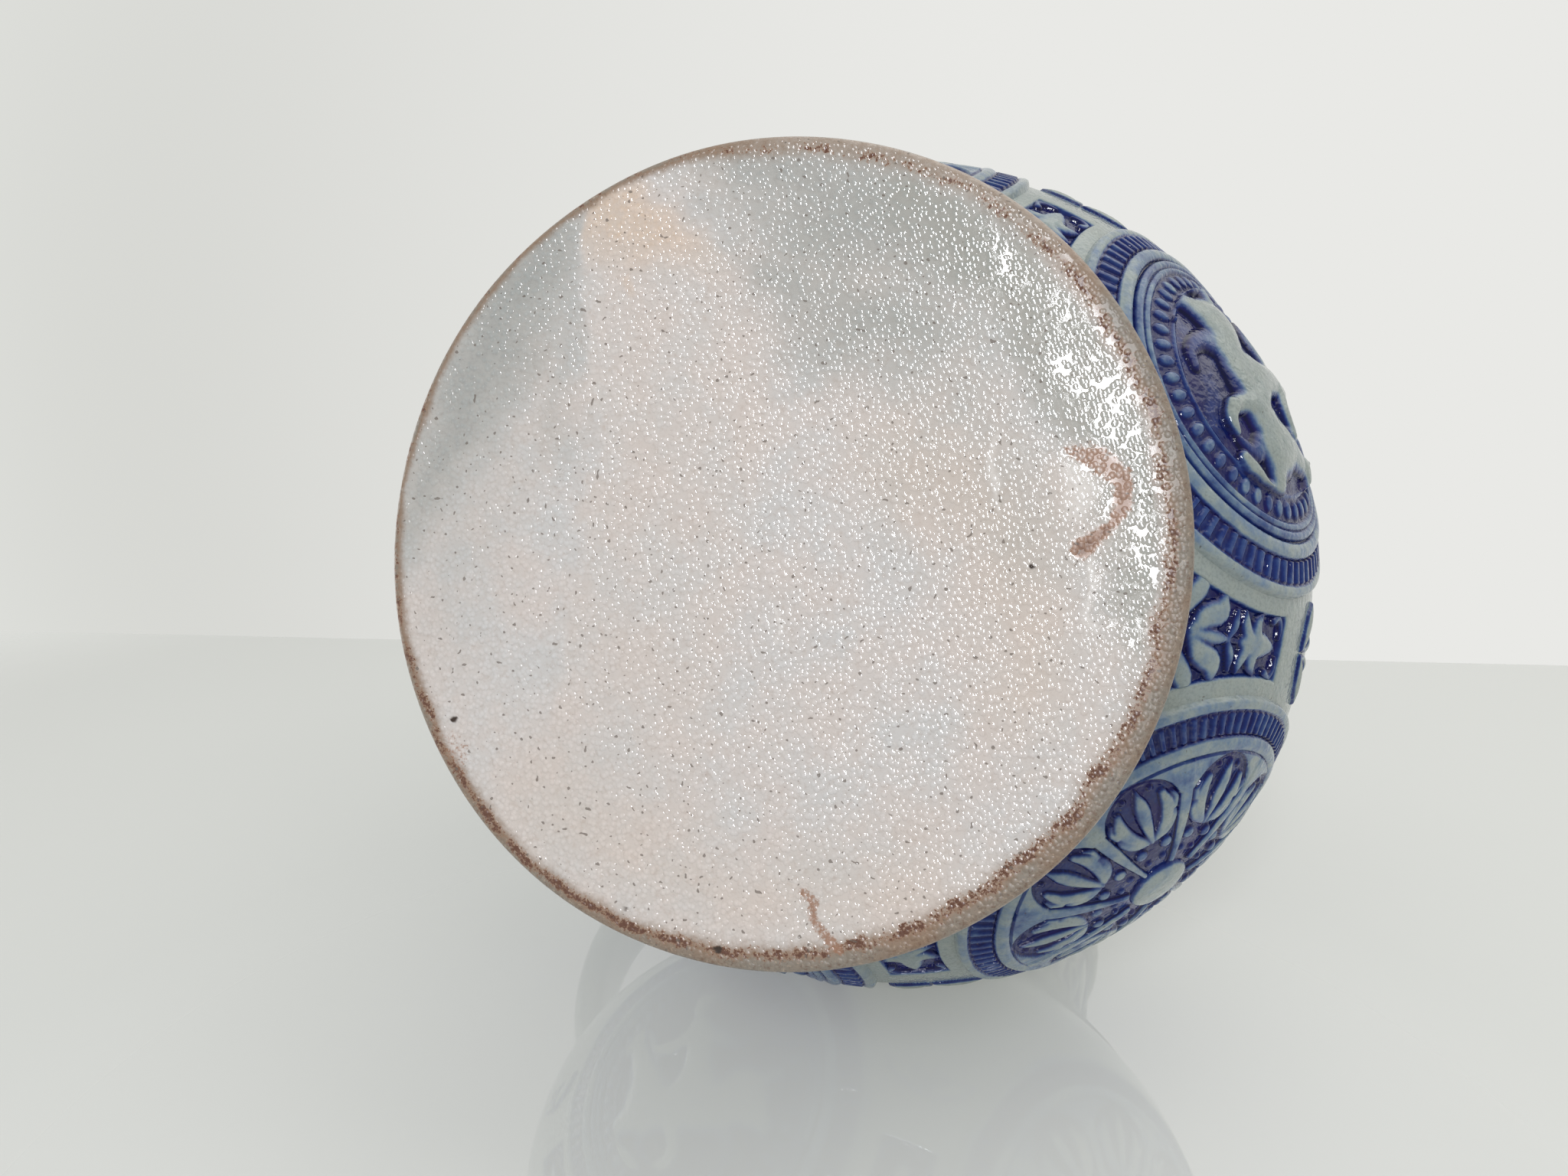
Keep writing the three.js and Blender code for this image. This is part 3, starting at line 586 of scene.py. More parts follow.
def base_layers(x, y):
    """Where the kiln left clouds, blush, toast, stains and pooled glaze on the underside."""
    radius = np.hypot(x, y)
    turn = np.degrees(np.arctan2(y, x))
    bent_x = x + 1.6 * wobble(x, y, 17) + 0.9 * wobble(y, x, 7)
    bent_y = y + 1.6 * wobble(y, x, 19) + 0.9 * wobble(x, y, 6)
    flat = (x, y)
    bent = (bent_x, bent_y)
    round_edge = (turn, 0 * turn)
    top = blot(bent, [(-14, -58, 8), (6, -52, 13), (26, -50, 10)], 12)
    middle = blot(bent, [(-7, -42, 7), (4, -37, 9), (17, -36, 7)], 13)
    left = blot(bent, [(-44, -44, 8), (-50, -26, 10), (-57, -4, 7), (-61, 9, 3)], 12)
    inner = blot(bent, [(-37, -32, 6), (-37, -12, 4)], 12)
    fade = blot(bent, [(-46, -24, 10), (-50, 8, 8), (-52, 22, 4)], 16)
    cloud = highest([0.8 * top, 0.76 * middle, 0.95 * left, 0.6 * inner, 0.4 * fade])
    # a pale tongue between two clouds, with a sharp left side
    left_side = np.interp(bent_y, [-52, -45, -39, -27, -15], [-36, -38, -37, -34, -29])
    right_side = np.interp(bent_y, [-52, -43, -33, -20], [-25, -14, -8, 0])
    tongue = smooth(-0.8, 1.2, bent_x - left_side) * smooth(6, -5, bent_x - right_side)
    tongue = tongue * smooth(-54, -50, bent_y)
    cloud = cloud * (1 - 0.95 * tongue)
    blush = tongue * (0.25 + 0.75 * smooth(-36, -47, bent_y))
    blush = np.maximum(blush, blot(flat, [(-29, -38, 0.8), (-27.5, -36, 0.5)], 1.2))
    low = blot(bent, [(-24, 46, 12), (6, 52, 8), (34, 44, 9)], 12)
    right = blot(bent, [(22, -16, 9), (38, -10, 8), (44, 12, 8)], 12)
    blush = highest([blush, 0.45 * low, 0.6 * right])
    # the toasted rim is widest at the lower right and thins out at the upper left
    turns = [-180, -140, -112, -100, -60, -40, 0, 40, 80, 110, 140, 180]
    width = np.interp(turn, turns, [1.6, 1.4, 1.6, 4.2, 4.2, 4.6, 5.2, 5.4, 4.6, 3.4, 3.2, 1.6])
    width = width + 0.5 * wobble(turn, turn, 21) + 0.4 * wobble(turn, radius, 8)
    from_edge = BASE_RADIUS - radius
    rim = smooth(width + 1.2, 0.3 * width, from_edge)
    share = [0.28, 0.34, 0.28, 0.22, 0.3, 0.42, 0.44, 0.52, 0.42, 0.42, 0.36, 0.28]
    dense = np.interp(turn, turns, share)
    inner_side = np.exp(-(((from_edge - width + 1.6) / 1.3) ** 2))
    clumps = 0.5 + 0.5 * wobble(turn, radius, 7) + 0.3 * wobble(turn, radius, 3)
    rust = (dense + 0.16 * clumps) * inner_side + 0.24 * rim * clumps
    peach = blot(round_edge, [(-96, 0, 6), (-58, 0, 6)], 14)
    blush = np.maximum(blush, peach * rim)
    rim = rim * (1 - 0.6 * peach)
    broad = blot(flat, [(43, -22, 0.8), (47, -21.3, 2), (50.4, -19.5, 1.8)], 1.4)
    arm = blot(flat, [(51, -18.5, 1.4), (51.6, -15.5, 1.3), (50.6, -12.5, 0.7)], 0.9)
    tail = blot(flat, [(50.2, -12, 0.8), (47.2, -8.6, 1.5)], 0.6)
    squiggle = blot(flat, [(17, 48, 0.6), (19, 49.2, 0.9), (19.6, 52, 0.7), (24, 55, 1)], 0.8)
    patch = blot(bent, [(-45, 39, 1.6), (-42, 43, 1)], 1.2)
    stain = highest([0.78 * broad, 0.9 * arm, tail, 0.8 * squiggle, 0.4 * patch])
    # pale glaze beside the stain and a small pale arc, and two pale glaze runs whose streaks are
    # partly painted highlight along their length
    pale = blot(bent, [(44, -20, 2.4), (46.5, -15, 2.6)], 2.4) * (1 - stain)
    for run in ([(33, -22, 0.3), (35, -13, 0.4)], [(49, -7, 0.4), (51, 2, 0.5)]):
        pale = np.maximum(pale, blot(bent, run, 0.6))
    pale = np.maximum(pale, 0.8 * blot(flat, [(5, 8, 0.3), (6.6, 10.5, 0.3), (6, 13, 0.3)], 0.5))
    pit = np.zeros(np.shape(x))
    for hole in [(-45, 36, 0.7), (6, 60, 0.7), (-10, 58, 0.5), (41, -5, 0.5)]:
        pit = np.maximum(pit, blot(flat, [hole], 0.35))
    scratch = blot(flat, [(-3.4, -38, 0.12), (-2, -31.5, 0.12)], 0.3)
    pit = np.maximum(pit, 0.5 * scratch)
    pooled = [(12, -55, 3), (28, -47, 5), (44, -34, 8), (55, -15, 6), (58, 1, 3)]
    wet = blot(bent, pooled, 6)
    thin = blot(bent, [(2, -44, 8), (24, -34, 12), (38, -10, 8)], 16)
    wet = np.maximum(wet, 0.35 * thin) * smooth(0, 1.5, from_edge - 0.8 * width) * (1 - stain)
    painted = {"cloud": cloud, "blush": blush, "rim": rim, "rust": rust, "stain": stain}
    painted.update({"pale": pale, "pit": pit, "wet": wet})
    return painted


def place_base(corners):
    """Sinks the clay a little inside its standing edge and wears the edge out of round."""
    x, y, z = corners.T
    radius = np.hypot(x, y)
    under = smooth(STANDING_EDGE + 1.8, 0.0, z)
    settled = BASE_SAG + 0.1 * wobble(x, y, 31) + 0.05 * wobble(y, x, 12)
    layers = base_layers(x, y)
    lift = under * settled * smooth(BASE_RADIUS + 0.2, BASE_RADIUS - 6, radius)
    z = z + lift + STAIN_SUNK * layers["stain"] * under
    layers["rust"] = layers["rust"] * under
    turn = np.arctan2(y, x)
    pinch = 1 - OUT_OF_ROUND * (1 + np.sin(3 * turn + 1.0) * np.cos(5 * turn))
    return np.stack([x * pinch, y * pinch, z], axis=-1), layers


def make_base():
    profile = [(radius, 0) for radius in np.linspace(0, BASE_RADIUS - STANDING_EDGE, 118)[:-1]]
    quarter = math.pi / 2
    edge = (BASE_RADIUS - STANDING_EDGE, STANDING_EDGE, STANDING_EDGE, -quarter, 0)
    profile += arc(*edge, 6)
    profile += [(BASE_RADIUS, height) for height in (2.0, 2.8, 3.4)]
    over = (BASE_RADIUS - UPPER_EDGE, BASE_THICKNESS - UPPER_EDGE, UPPER_EDGE, 0, quarter)
    profile += arc(*over, 6)
    profile += [(FOOT_RADIUS, BASE_THICKNESS), (30, BASE_THICKNESS), (0, BASE_THICKNESS)]
    work = turned(profile, columns=420)
    finish_piece("base", work, place_base, FLASHED, ["base_slab"])


make_base()


# Body sections


def glazed_only(corners):
    """Leaves the corners where they are, with no cobalt on them."""
    return corners, {"cobalt": np.zeros(len(corners))}


def thrown_wall(name, outer, inner, columns, node_name, place=glazed_only, sharp=30):
    """A wall thrown on the wheel, between its outside and its inside."""
    work = turned([*outer, *inner, outer[0]], columns)
    finish_piece(name, work, place, GLAZED, [node_name], sharp)


def make_foot():
    inner_angle = math.asin((WAIST_HEIGHT - FOOT_BOTTOM) / (WAIST_CURVE + WALL))
    outer = [(FOOT_RADIUS, BASE_THICKNESS)]
    outer += arc(WAIST_CENTRE, WAIST_HEIGHT, WAIST_CURVE, math.pi + FOOT_ANGLE, math.pi, 24)
    inner = arc(WAIST_CENTRE, WAIST_HEIGHT, WAIST_CURVE + WALL, math.pi, math.pi + inner_angle, 12)
    thrown_wall("foot_and_waist", outer, inner, 256, "foot")


# Columns of the lower belly follow the panels' sides: shares of the panel, then millimetres
# from its side, then shares of the rest.
SHARES_IN = [0, 0.25, 0.5, 0.75]
BESIDE_SIDE = [-1.0, -0.7, -0.4, -0.1, 0.2, 0.6]
SHARES_OUT = [step / 11 for step in range(1, 12)]
HALF_COLUMNS = len(SHARES_IN) + len(BESIDE_SIDE) + len(SHARES_OUT) - 1
PANELS = 5


def recess(inside_side, inside_rows):
    """How deep the lower belly is sunk at distances inside a panel's side and its ends."""
    return -PANEL_SUNK * smooth(-0.3, 0.9, np.minimum(inside_side, inside_rows))


def place_lower_belly(corners):
    """Moves the columns of the outside onto the panels' sides and sinks the panels' grounds."""
    x, y, z = corners.T
    radius = np.hypot(x, y)
    outer = radius > tilt_at(z)[1] - WALL / 2
    column = np.rint(np.arctan2(y, x) / math.tau * 2 * PANELS * HALF_COLUMNS).astype(int)
    half, step = np.divmod(column, HALF_COLUMNS)
    mirrored = half % 2 == 1
    step = np.where(mirrored, HALF_COLUMNS - step, step)
    panel = np.where(mirrored, half + 1, half) // 2
    height = np.clip(z, PANEL_BOTTOM, PANEL_TOP)
    side = half_angle_between(height, PANEL_MARGIN)
    here = tilt_at(height)[1]
    facing_back = ((panel == 2) & ~mirrored) | ((panel == -2) & mirrored)
    sector = np.where(facing_back, math.pi - 2 * MEDALLION_SPACING, MEDALLION_SPACING / 2)
    angles = [(side + BESIDE_SIDE[0] / here) * share for share in SHARES_IN]
    angles += [side + beside / here for beside in BESIDE_SIDE]
    last = angles[-1]
    angles += [last + (sector - last) * share for share in SHARES_OUT]
    beside = np.choose(step, angles)
    azimuth = panel * MEDALLION_SPACING + np.where(mirrored, -beside, beside)
    inside_side = (side - beside) * here
    inside_rows = np.minimum(z - PANEL_BOTTOM, PANEL_TOP - z)
    sunk = recess(inside_side, inside_rows)
    placed = skin(azimuth, z, sunk)
    cobalt = smooth(0.1, -0.7, sunk) * 0.9
    corners = np.where(outer[:, None], placed, corners)
    return corners, {"cobalt": np.where(outer, cobalt, 0)}


def make_lower_belly():
    near_ends = [-0.7, -0.4, -0.1, 0.2, 0.5, 0.8, 1.2]
    heights = list(np.linspace(WAIST_HEIGHT, LOWER_SEAM - 1, 16))
    heights += [PANEL_BOTTOM + step for step in near_ends]
    heights += list(np.linspace(PANEL_BOTTOM + 2.4, PANEL_TOP - 2.4, 14))
    heights += [PANEL_TOP - step for step in reversed(near_ends)]
    heights += list(np.linspace(PANEL_TOP + 2, BELLY_HEIGHT, 16))
    outer = [(float(tilt_at(height)[1]), height) for height in heights]
    outer.append((BELLY_RADIUS - 0.25, BELLY_HEIGHT + 0.6))
    inner = arc(LOWER_CENTRE, BELLY_HEIGHT, LOWER_CURVE - WALL, 0, -LOWER_ANGLE, 14)
    waist = (WAIST_CENTRE, WAIST_HEIGHT, WAIST_CURVE + WALL)
    inner += arc(*waist, math.pi - LOWER_ANGLE, math.pi, 8)[1:]
    columns = 2 * PANELS * HALF_COLUMNS
    thrown_wall("lower_belly", outer, inner, columns, "belly_lower", place_lower_belly, 50)


def make_upper_belly():
    outer = arc(UPPER_CENTRE, BELLY_HEIGHT, UPPER_CURVE, 0, UPPER_ANGLE, 30)
    shoulder = (SHOULDER_CENTRE, SHOULDER_HEIGHT)
    outer += arc(*shoulder, SHOULDER_CURVE, math.pi + UPPER_ANGLE, math.pi, 14)[1:]
    outer.append((NECK_RADIUS, BODY_TOP))
    inner = [(NECK_RADIUS - WALL, BODY_TOP)]
    inner += arc(*shoulder, SHOULDER_CURVE + WALL, math.pi, math.pi + UPPER_ANGLE, 10)
    inner += arc(UPPER_CENTRE, BELLY_HEIGHT, UPPER_CURVE - WALL, UPPER_ANGLE, 0, 18)[1:]
    thrown_wall("upper_belly", outer, inner, 320, "belly_upper")


make_foot()
make_lower_belly()
make_upper_belly()


# Medallions


def frame_height(x, y, reeds):
    """Two mouldings with the reeded band between them, in millimetres above the belly, and the
    cobalt on it."""
    out = np.hypot(x, y)
    inner = moulding(out, INNER_MOULDING, INNER_HALF)
    ring = moulding(out, OUTER_MOULDING, OUTER_HALF)
    across = folded(np.arctan2(y, x), reeds) * 2
    end = np.clip((np.abs(out - (REED_INNER + REED_OUTER) / 2) - 1.5) / 0.8, 0, 1)
    flute = smooth(-0.1, 0.25, 0.62 * np.sqrt(1 - end**2 * 0.999) - across)
    bar = 1 - flute
    bar = bar * smooth(REED_INNER + 0.2, REED_INNER + 0.6, out)
    bar = bar * smooth(REED_OUTER, REED_OUTER - 0.4, out)
    floor = 0.62 * smooth(FRAME_OUTER + 0.5, FRAME_OUTER - 0.6, out)
    height = floor + highest([inner, 0.6 * bar, 0.7 * ring])
    height = np.where(out > FRAME_OUTER + 0.4, -0.3, height)
    washed = wobble(x, y, 26) * 0.12
    cobalt = 0.92 - 0.3 * bar
    cobalt = np.minimum(cobalt, 0.92 - (0.66 + washed) * smooth(0.15, 0.7, inner))
    cobalt = np.minimum(cobalt, 0.92 - (0.72 - washed) * smooth(0.1, 0.6, ring))
    for beside in (REED_INNER + 0.3, REED_OUTER - 0.1):
        cobalt = cobalt + 0.3 * smooth(0.5, 0.1, np.abs(out - beside))
    plain = smooth(FRAME_OUTER - 0.5, FRAME_OUTER + 0.1, out)
    return height, cobalt * (1 - plain) + 0.12 * plain


def round_sprig(name, azimuth, low, high, columns, rows, height_at, node_name):
    """A round or ring-shaped sprig pressed in a mould and laid on the belly."""
    stations = np.linspace(low, high, rows + 1)
    profile = [(station, 1) for station in stations]
    profile += [(high, -1), (low, -1)]
    if low > 0:
        profile.append((low, 1))
    work = turned(profile, columns)

    def place(corners):
        x, y, z = corners.T
        height, cobalt = height_at(x, y)
        offset = np.where(z > 0, height, -0.8)
        return on_medallion(azimuth, x, y, offset), {"cobalt": cobalt}

    finish_piece(name, work, place, GLAZED, [node_name], sharp=60)


def rosette_height(x, y):
    """Eight arch-ended compartments round a boss, each with a palmette, between ribs. One is
    drawn, in millimetres from the centre and from its own middle line, and folded over."""
    out = np.hypot(x, y)
    turn = np.arctan2(y, x)
    spread = math.pi / PETALS
    arch = 22.8
    aside = (turn % (2 * spread)) - spread
    u = np.abs(out * np.sin(aside))
    v = out * np.cos(aside)
    from_rib = out * np.sin(spread - np.abs(aside))
    rib_half = 0.5 + 0.8 * smooth(8, 24, out)
    rib = smooth(rib_half + 0.45, rib_half - 0.35, from_rib) * smooth(6.5, 8, out)
    arch_away = np.hypot(u, v - arch)
    beyond = smooth(7.6, 8.2, arch_away) * smooth(arch, arch + 0.8, v)
    outline = np.exp(-(((arch_away - 7.2) / 0.4) ** 2)) * smooth(arch, arch + 0.8, v)
    tongue = strand(u, v, (0, 16, 0.7), (0, 20, 1.4), (0, 24.8, 1.8), (0, 29.2, 0.4))
    lobe = strand(u, v, (1.2, 16.8, 0.9), (3.7, 19.6, 1.6), (5, 22.8, 1.7), (4.8, 25.8, 1))
    curl = strand(u, v, (6.2, 21.6, 1), (7, 23.2, 0.8), (6.6, 24.8, 0.5))
    low_lobe = strand(u, v, (0.9, 16.2, 0.8), (3.4, 17.2, 1.3), (5.4, 19.2, 1.1), (6, 20.4, 0.7))
    dot = dome(u, v, (2.9, 28.2), 0.8, 0.8)
    bead = dome(u, v, (2.7, 13.6), 1.5, 1.5)
    small = dome(u, v, (1.6, 9.8), 0.9, 0.9)
    boss = np.clip(1 - (out / BOSS_RADIUS) ** 2, 0, 1) ** 0.35
    leaf = melted(tongue, lobe * 0.95, curl * 0.8, low_lobe * 0.8)
    raised = melted(rib * 0.8, beyond * 0.72, leaf * 0.92, dot * 0.5, bead * 0.75)
    height = 0.5 + 1.2 * raised + 0.25 * outline
    height = np.maximum(height, 0.5 + 0.6 * small)
    height = np.maximum(height, 0.55 + 1.65 * boss)
    height = np.where(out > CENTRE_RADIUS, 0.95, height)
    washed = 0.1 * wobble(x, y, 15) + 0.06 * wobble(y, x, 6)
    leafy = smooth(0.3, 0.85, leaf)
    edges = np.maximum(smooth(0.3, 0.75, rib), smooth(0.3, 0.7, beyond))
    edges = edges * (1 - 0.6 * (out > CENTRE_RADIUS - 0.1))
    beads = 0.6 * np.maximum(smooth(0.3, 0.9, bead), 0.5 * smooth(0.4, 1, small))
    pale = highest([0.8 * leafy, 0.68 * edges, beads, 0.82 * smooth(0.15, 0.6, boss)])
    return height, np.clip(0.96 - pale - washed * (pale > 0.1), 0, 1) + gathered(raised)


def rider_height(x, y):
    """A galloping horse and its rider, inside a beaded band and two mouldings, drawn in
    millimetres from the centre."""
    out = np.hypot(x, y)
    across = folded(np.arctan2(y, x), RIDER_BEADS) * 2
    bead = np.clip(1 - ((out - 24.9) / 1.9) ** 2 - (across / 0.72) ** 2, 0, 1) ** 0.5
    thread = np.clip(1 - ((out - 22.2) / 0.55) ** 2, 0, 1)
    inner_ring = moulding(out, 27.9, 0.75)
    outer_ring = moulding(out, 29.6, 0.95)
    trunk = strand(x, y, (-14, -2.5, 6.6), (-6, -4.8, 6.4), (4, -5, 6.6), (12, -2.4, 6.8))
    rump = dome(x, y, (-13.5, -2.2), 7.4, 7.8)
    chest = dome(x, y, (12.5, -3), 7, 7.4)
    neck = strand(x, y, (12, 1, 5.4), (15.4, 6.6, 4.2), (18, 10.6, 3))
    head = strand(x, y, (17, 11, 2.8), (20.2, 8.8, 2.3), (22.6, 6.2, 1.5))
    ear = strand(x, y, (16.6, 12.6, 1), (16.4, 15, 0.4))
    mane = strand(x, y, (9.8, 6.2, 1.4), (12.6, 10.2, 1.5), (15.2, 13, 1))
    hind = strand(x, y, (-15, -5, 5.2), (-19, -9.4, 2.9), (-20.4, -13, 1.7))
    hind_hoof = strand(x, y, (-20.4, -12.8, 1.7), (-18.6, -15.4, 1.5), (-16.4, -15.8, 1.1))
    hind_two = strand(x, y, (-9, -7, 4.4), (-10.6, -12.6, 2.6), (-9, -16.8, 1.9), (-6, -17.8, 1.5))
    fore = strand(x, y, (14, -6, 4.8), (19.6, -8.4, 3), (19.6, -12.4, 2.2))
    fore_shin = strand(x, y, (19.6, -12.4, 2.2), (15.6, -14.6, 2.2), (12.6, -16.2, 1.6))
    fore_two = strand(x, y, (11, -8, 3.6), (12.4, -12.6, 2.2), (9.4, -15.4, 1.5))
    tail = strand(x, y, (-19, 1, 1.9), (-22.6, 2.2, 1.9), (-22.4, -2.4, 1.6), (-23.6, -5.6, 0.6))
    cloth = dome(x, y, (-1.5, 0.4), 6.6, 5.6)
    body = strand(x, y, (-1.5, 3, 4.4), (-0.9, 8, 4.2), (0.2, 12.4, 3.8))
    cape = strand(x, y, (-2, 12, 2.6), (-7, 9.4, 2.8), (-11.5, 8.6, 2), (-14.6, 10.6, 0.7))
    leg = strand(x, y, (-0.5, 1.6, 3.6), (3.8, -4.6, 3), (3, -11.2, 2.4), (3.2, -14, 2))
    boot = strand(x, y, (3, -13.8, 2), (5.2, -15.8, 1.7), (8, -15.9, 1))
    arm = strand(x, y, (1.4, 11, 2.4), (6, 8.2, 2), (10.6, 8, 1.5))
    rein = strand(x, y, (10.6, 8, 0.6), (15.5, 8.6, 0.5), (20.6, 7.6, 0.5))
    face = dome(x, y, (1, 17.2), 2.7, 3.1)
    cap = dome(x, y, (0.7, 19.4), 3.1, 1.9)
    feather = strand(x, y, (-0.6, 20.4, 1.1), (-3, 20.2, 1), (-4.8, 18.4, 0.6))
    distant = melted(hind_two, fore_two, tail, cape, mane) * 0.66
    horse = melted(trunk, rump, chest, neck, head, ear, hind, hind_hoof, fore, fore_shin) * 0.86
    rider = melted(cloth * 0.93, body, arm, face * 0.95, cap, feather * 0.75, leg, boot)
    figure = np.minimum(melted(distant, horse, rider), 1.0) * smooth(22.9, 22.0, out)
    crease = 0.1 * smooth(0.2, 0.9, rein) + 0.05 * wobble(x, y, 4.5)
    height = 0.45 + 0.9 * np.maximum(bead * 0.75, thread * 0.4)
    height = np.maximum(height, 0.45 + 0.95 * np.maximum(inner_ring * 0.75, outer_ring))
    height = np.maximum(height, 0.45 + 2.15 * figure - crease * smooth(0.3, 0.7, figure))
    height = np.where(out > CENTRE_RADIUS - 0.1, 0.4, height)
    washed = 0.1 * wobble(x, y, 13)
    rings = np.maximum(smooth(0.2, 0.8, inner_ring), smooth(0.2, 0.8, outer_ring))
    pale = np.maximum(0.6 * rings, 0.58 * smooth(0.25, 0.9, bead))
    pale = highest([pale, 0.4 * thread, 0.94 * smooth(0.3, 0.8, figure)])
    return height, np.clip(0.98 - pale + washed * (pale < 0.9), 0, 1) + gathered(figure)


MEDALLIONS = [
    ("back_right", -1.5, "rosette", ROSETTE_REEDS, rosette_height),
    ("front_right", -0.5, "rider", RIDER_REEDS, rider_height),
    ("front_left", 0.5, "rosette", ROSETTE_REEDS, rosette_height),
    ("back_left", 1.5, "rider", RIDER_REEDS, rider_height),
]
frame_grid = (CENTRE_RADIUS + 0.2, FRAME_OUTER + 0.5, 1200, 36)
centre_grid = (0, CENTRE_RADIUS + 0.5, 720, 120)
for where, step, kind, reeds, centre_height in MEDALLIONS:
    azimuth = step * MEDALLION_SPACING
    ring_height = partial(frame_height, reeds=reeds)
    ring_node = f"medallion_frame_{where}"
    round_sprig(f"reeded_frame_{where}", azimuth, *frame_grid, ring_height, ring_node)
    centre_node = f"{kind}_medallion_{where}"
    round_sprig(f"{kind}_{where}", azimuth, *centre_grid, centre_height, centre_node)


# Panels and scroll leaves between the medallions


def panel_height(x, down):
    """A palmette under a spade leaf, with curls in the upper corners, drawn in millimetres from
    its middle line and down from its top."""
    u = np.abs(x)
    curl = strand(u, down, (1.8, 1.3, 0.5), (4.2, 1.3, 0.8), (5.6, 2.6, 0.9), (4.8, 4.2, 1))
    spade = strand(u, down, (0, 2.9, 0.4), (0, 5.4, 1.9), (0, 8.6, 3), (0, 12.8, 1.8))
    wing = strand(u, down, (0.6, 9.4, 2), (3.2, 9.8, 1.9), (5.6, 8.4, 0.6))
    wing_low = strand(u, down, (0.6, 11.6, 1.8), (3.4, 13, 1.5), (5.6, 13.4, 0.6))
    stem = strand(u, down, (0, 12, 0.7), (0, 18, 0.8), (0, 33, 0.9))
    bud = strand(u, down, (0.4, 17.2, 0.8), (2.6, 16, 1.3), (5.4, 15.6, 0.7))
    lobe = strand(u, down, (0.8, 26, 1.2), (3.4, 23, 2.7), (4.6, 20.2, 2.7), (7.4, 19.4, 1.2))
    tongue = strand(u, down, (0, 17.2, 0.6), (0, 20.4, 1.7), (0, 25.6, 1.2))
    low_lobe = strand(u, down, (0.8, 31, 1.2), (5.2, 28, 2.3), (8.8, 25, 2.2), (10.6, 25.4, 1))
    foot_lobe = strand(u, down, (1, 33.4, 0.9), (6, 31.6, 1.8), (11, 29, 2), (13, 30, 0.9))
    flower = melted(spade, wing * 0.9, wing_low * 0.9, stem * 0.5)
    palmette = melted(lobe, tongue * 0.85, bud * 0.75, low_lobe * 0.95, foot_lobe * 0.9)
    raised = np.minimum(melted(curl * 0.7, flower, palmette), 1.0)
    cobalt = 1 - 0.86 * smooth(0.35, 0.9, raised) + gathered(raised)
    return -PANEL_SUNK + 0.2 + 1.45 * raised, cobalt


def make_panel(name, azimuth, node_name):
    """A panel that fills the sunk ground between two frames, down to the waist."""
    def place(corners):
        share, rise, side = corners.T
        height = PANEL_BOTTOM + 0.1 + (PANEL_TOP - PANEL_BOTTOM - 0.2) * (rise + 1) / 2
        here = tilt_at(height)[1]
        half = half_angle_between(height, PANEL_MARGIN) - 0.15 / here
        x = share * half * here
        top = math.asin((PANEL_TOP - BELLY_HEIGHT) / LOWER_CURVE)
        down = LOWER_CURVE * (top - tilt_at(height)[0])
        relief, cobalt = panel_height(x, down)
        offset = np.where(side > 0, relief, -PANEL_SUNK - 0.8)
        return skin(azimuth + share * half, height, offset), {"cobalt": cobalt}

    work = pressed_sheet(columns=130, rows=150)
    finish_piece(name, work, place, GLAZED, [node_name], sharp=60)


def make_scroll(name, azimuth, node_name):
    """A pair of small scrolling leaves above a panel."""
    half = half_angle_between(SCROLL_HEIGHT, SCROLL_MARGIN)

    def place(corners):
        share, rise, side = corners.T
        height = SCROLL_HEIGHT + rise * SCROLL_TALL / 2
        here = float(tilt_at(SCROLL_HEIGHT)[1])
        u = np.abs(share * half * here)
        v = rise * SCROLL_TALL / 2
        leaf = strand(u, v, (0.6, -2.6, 0.5), (3.2, -1, 1.5), (6.6, 0.6, 1.7), (9.8, 2.4, 0.5))
        curl = strand(u, v, (1, -2.4, 0.5), (0.9, 0.6, 0.8), (2.2, 2.4, 0.9), (3.4, 1.8, 0.6))
        raised = np.maximum(leaf, 0.8 * curl)
        offset = np.where(side > 0, -0.12 + 1.2 * raised, -0.6)
        cobalt = 0.85 * smooth(0.0, 0.2, raised) * (1 - smooth(0.45, 0.8, raised))
        return skin(azimuth + share * half, height, offset), {"cobalt": cobalt}

    work = pressed_sheet(columns=110, rows=46)
    finish_piece(name, work, place, GLAZED, [node_name], sharp=60)


for index, where in enumerate(["far_right", "right", "front", "left", "far_left"]):
    azimuth = (index - 2) * MEDALLION_SPACING
    make_panel(f"palmette_{where}", azimuth, f"palmette_panel_{where}")
    make_scroll(f"scrolls_{where}", azimuth, f"scroll_leaves_{where}")


# Neck, rim and handle


def make_collar():
    outer = [(NECK_RADIUS, height) for height in np.linspace(BODY_TOP, NECK_TOP, 12)]
    inner = [(NECK_RADIUS - WALL, height) for height in np.linspace(NECK_TOP, BODY_TOP, 12)]
    thrown_wall("neck", outer, inner, 256, "neck_collar")


def make_ring(name, bottom, node_name):
    """A ring of two rolls with a thin fillet between them."""
    inside = NECK_RADIUS - 0.5
    out = NECK_RADIUS + GAP
    profile = [(inside, bottom)]
    for share in np.linspace(0, 1, 17):
        swell = 0.3 + 0.7 * abs(math.sin(share * math.tau)) ** 0.7
        swell = max(swell, 0.9 * math.exp(-(((share - 0.5) / 0.09) ** 2)))
        profile.append((out + RING_DEPTH * swell * 0.98, bottom + RING_HEIGHT * share))
    profile += [(inside, bottom + RING_HEIGHT), (inside, bottom)]
    work = turned(profile, columns=256)

    def place(corners):
        depth = np.hypot(corners[:, 0], corners[:, 1]) - out
        return corners, {"cobalt": 0.8 * smooth(1.6, 1.1, depth)}

    finish_piece(name, work, place, GLAZED, [node_name], sharp=45)


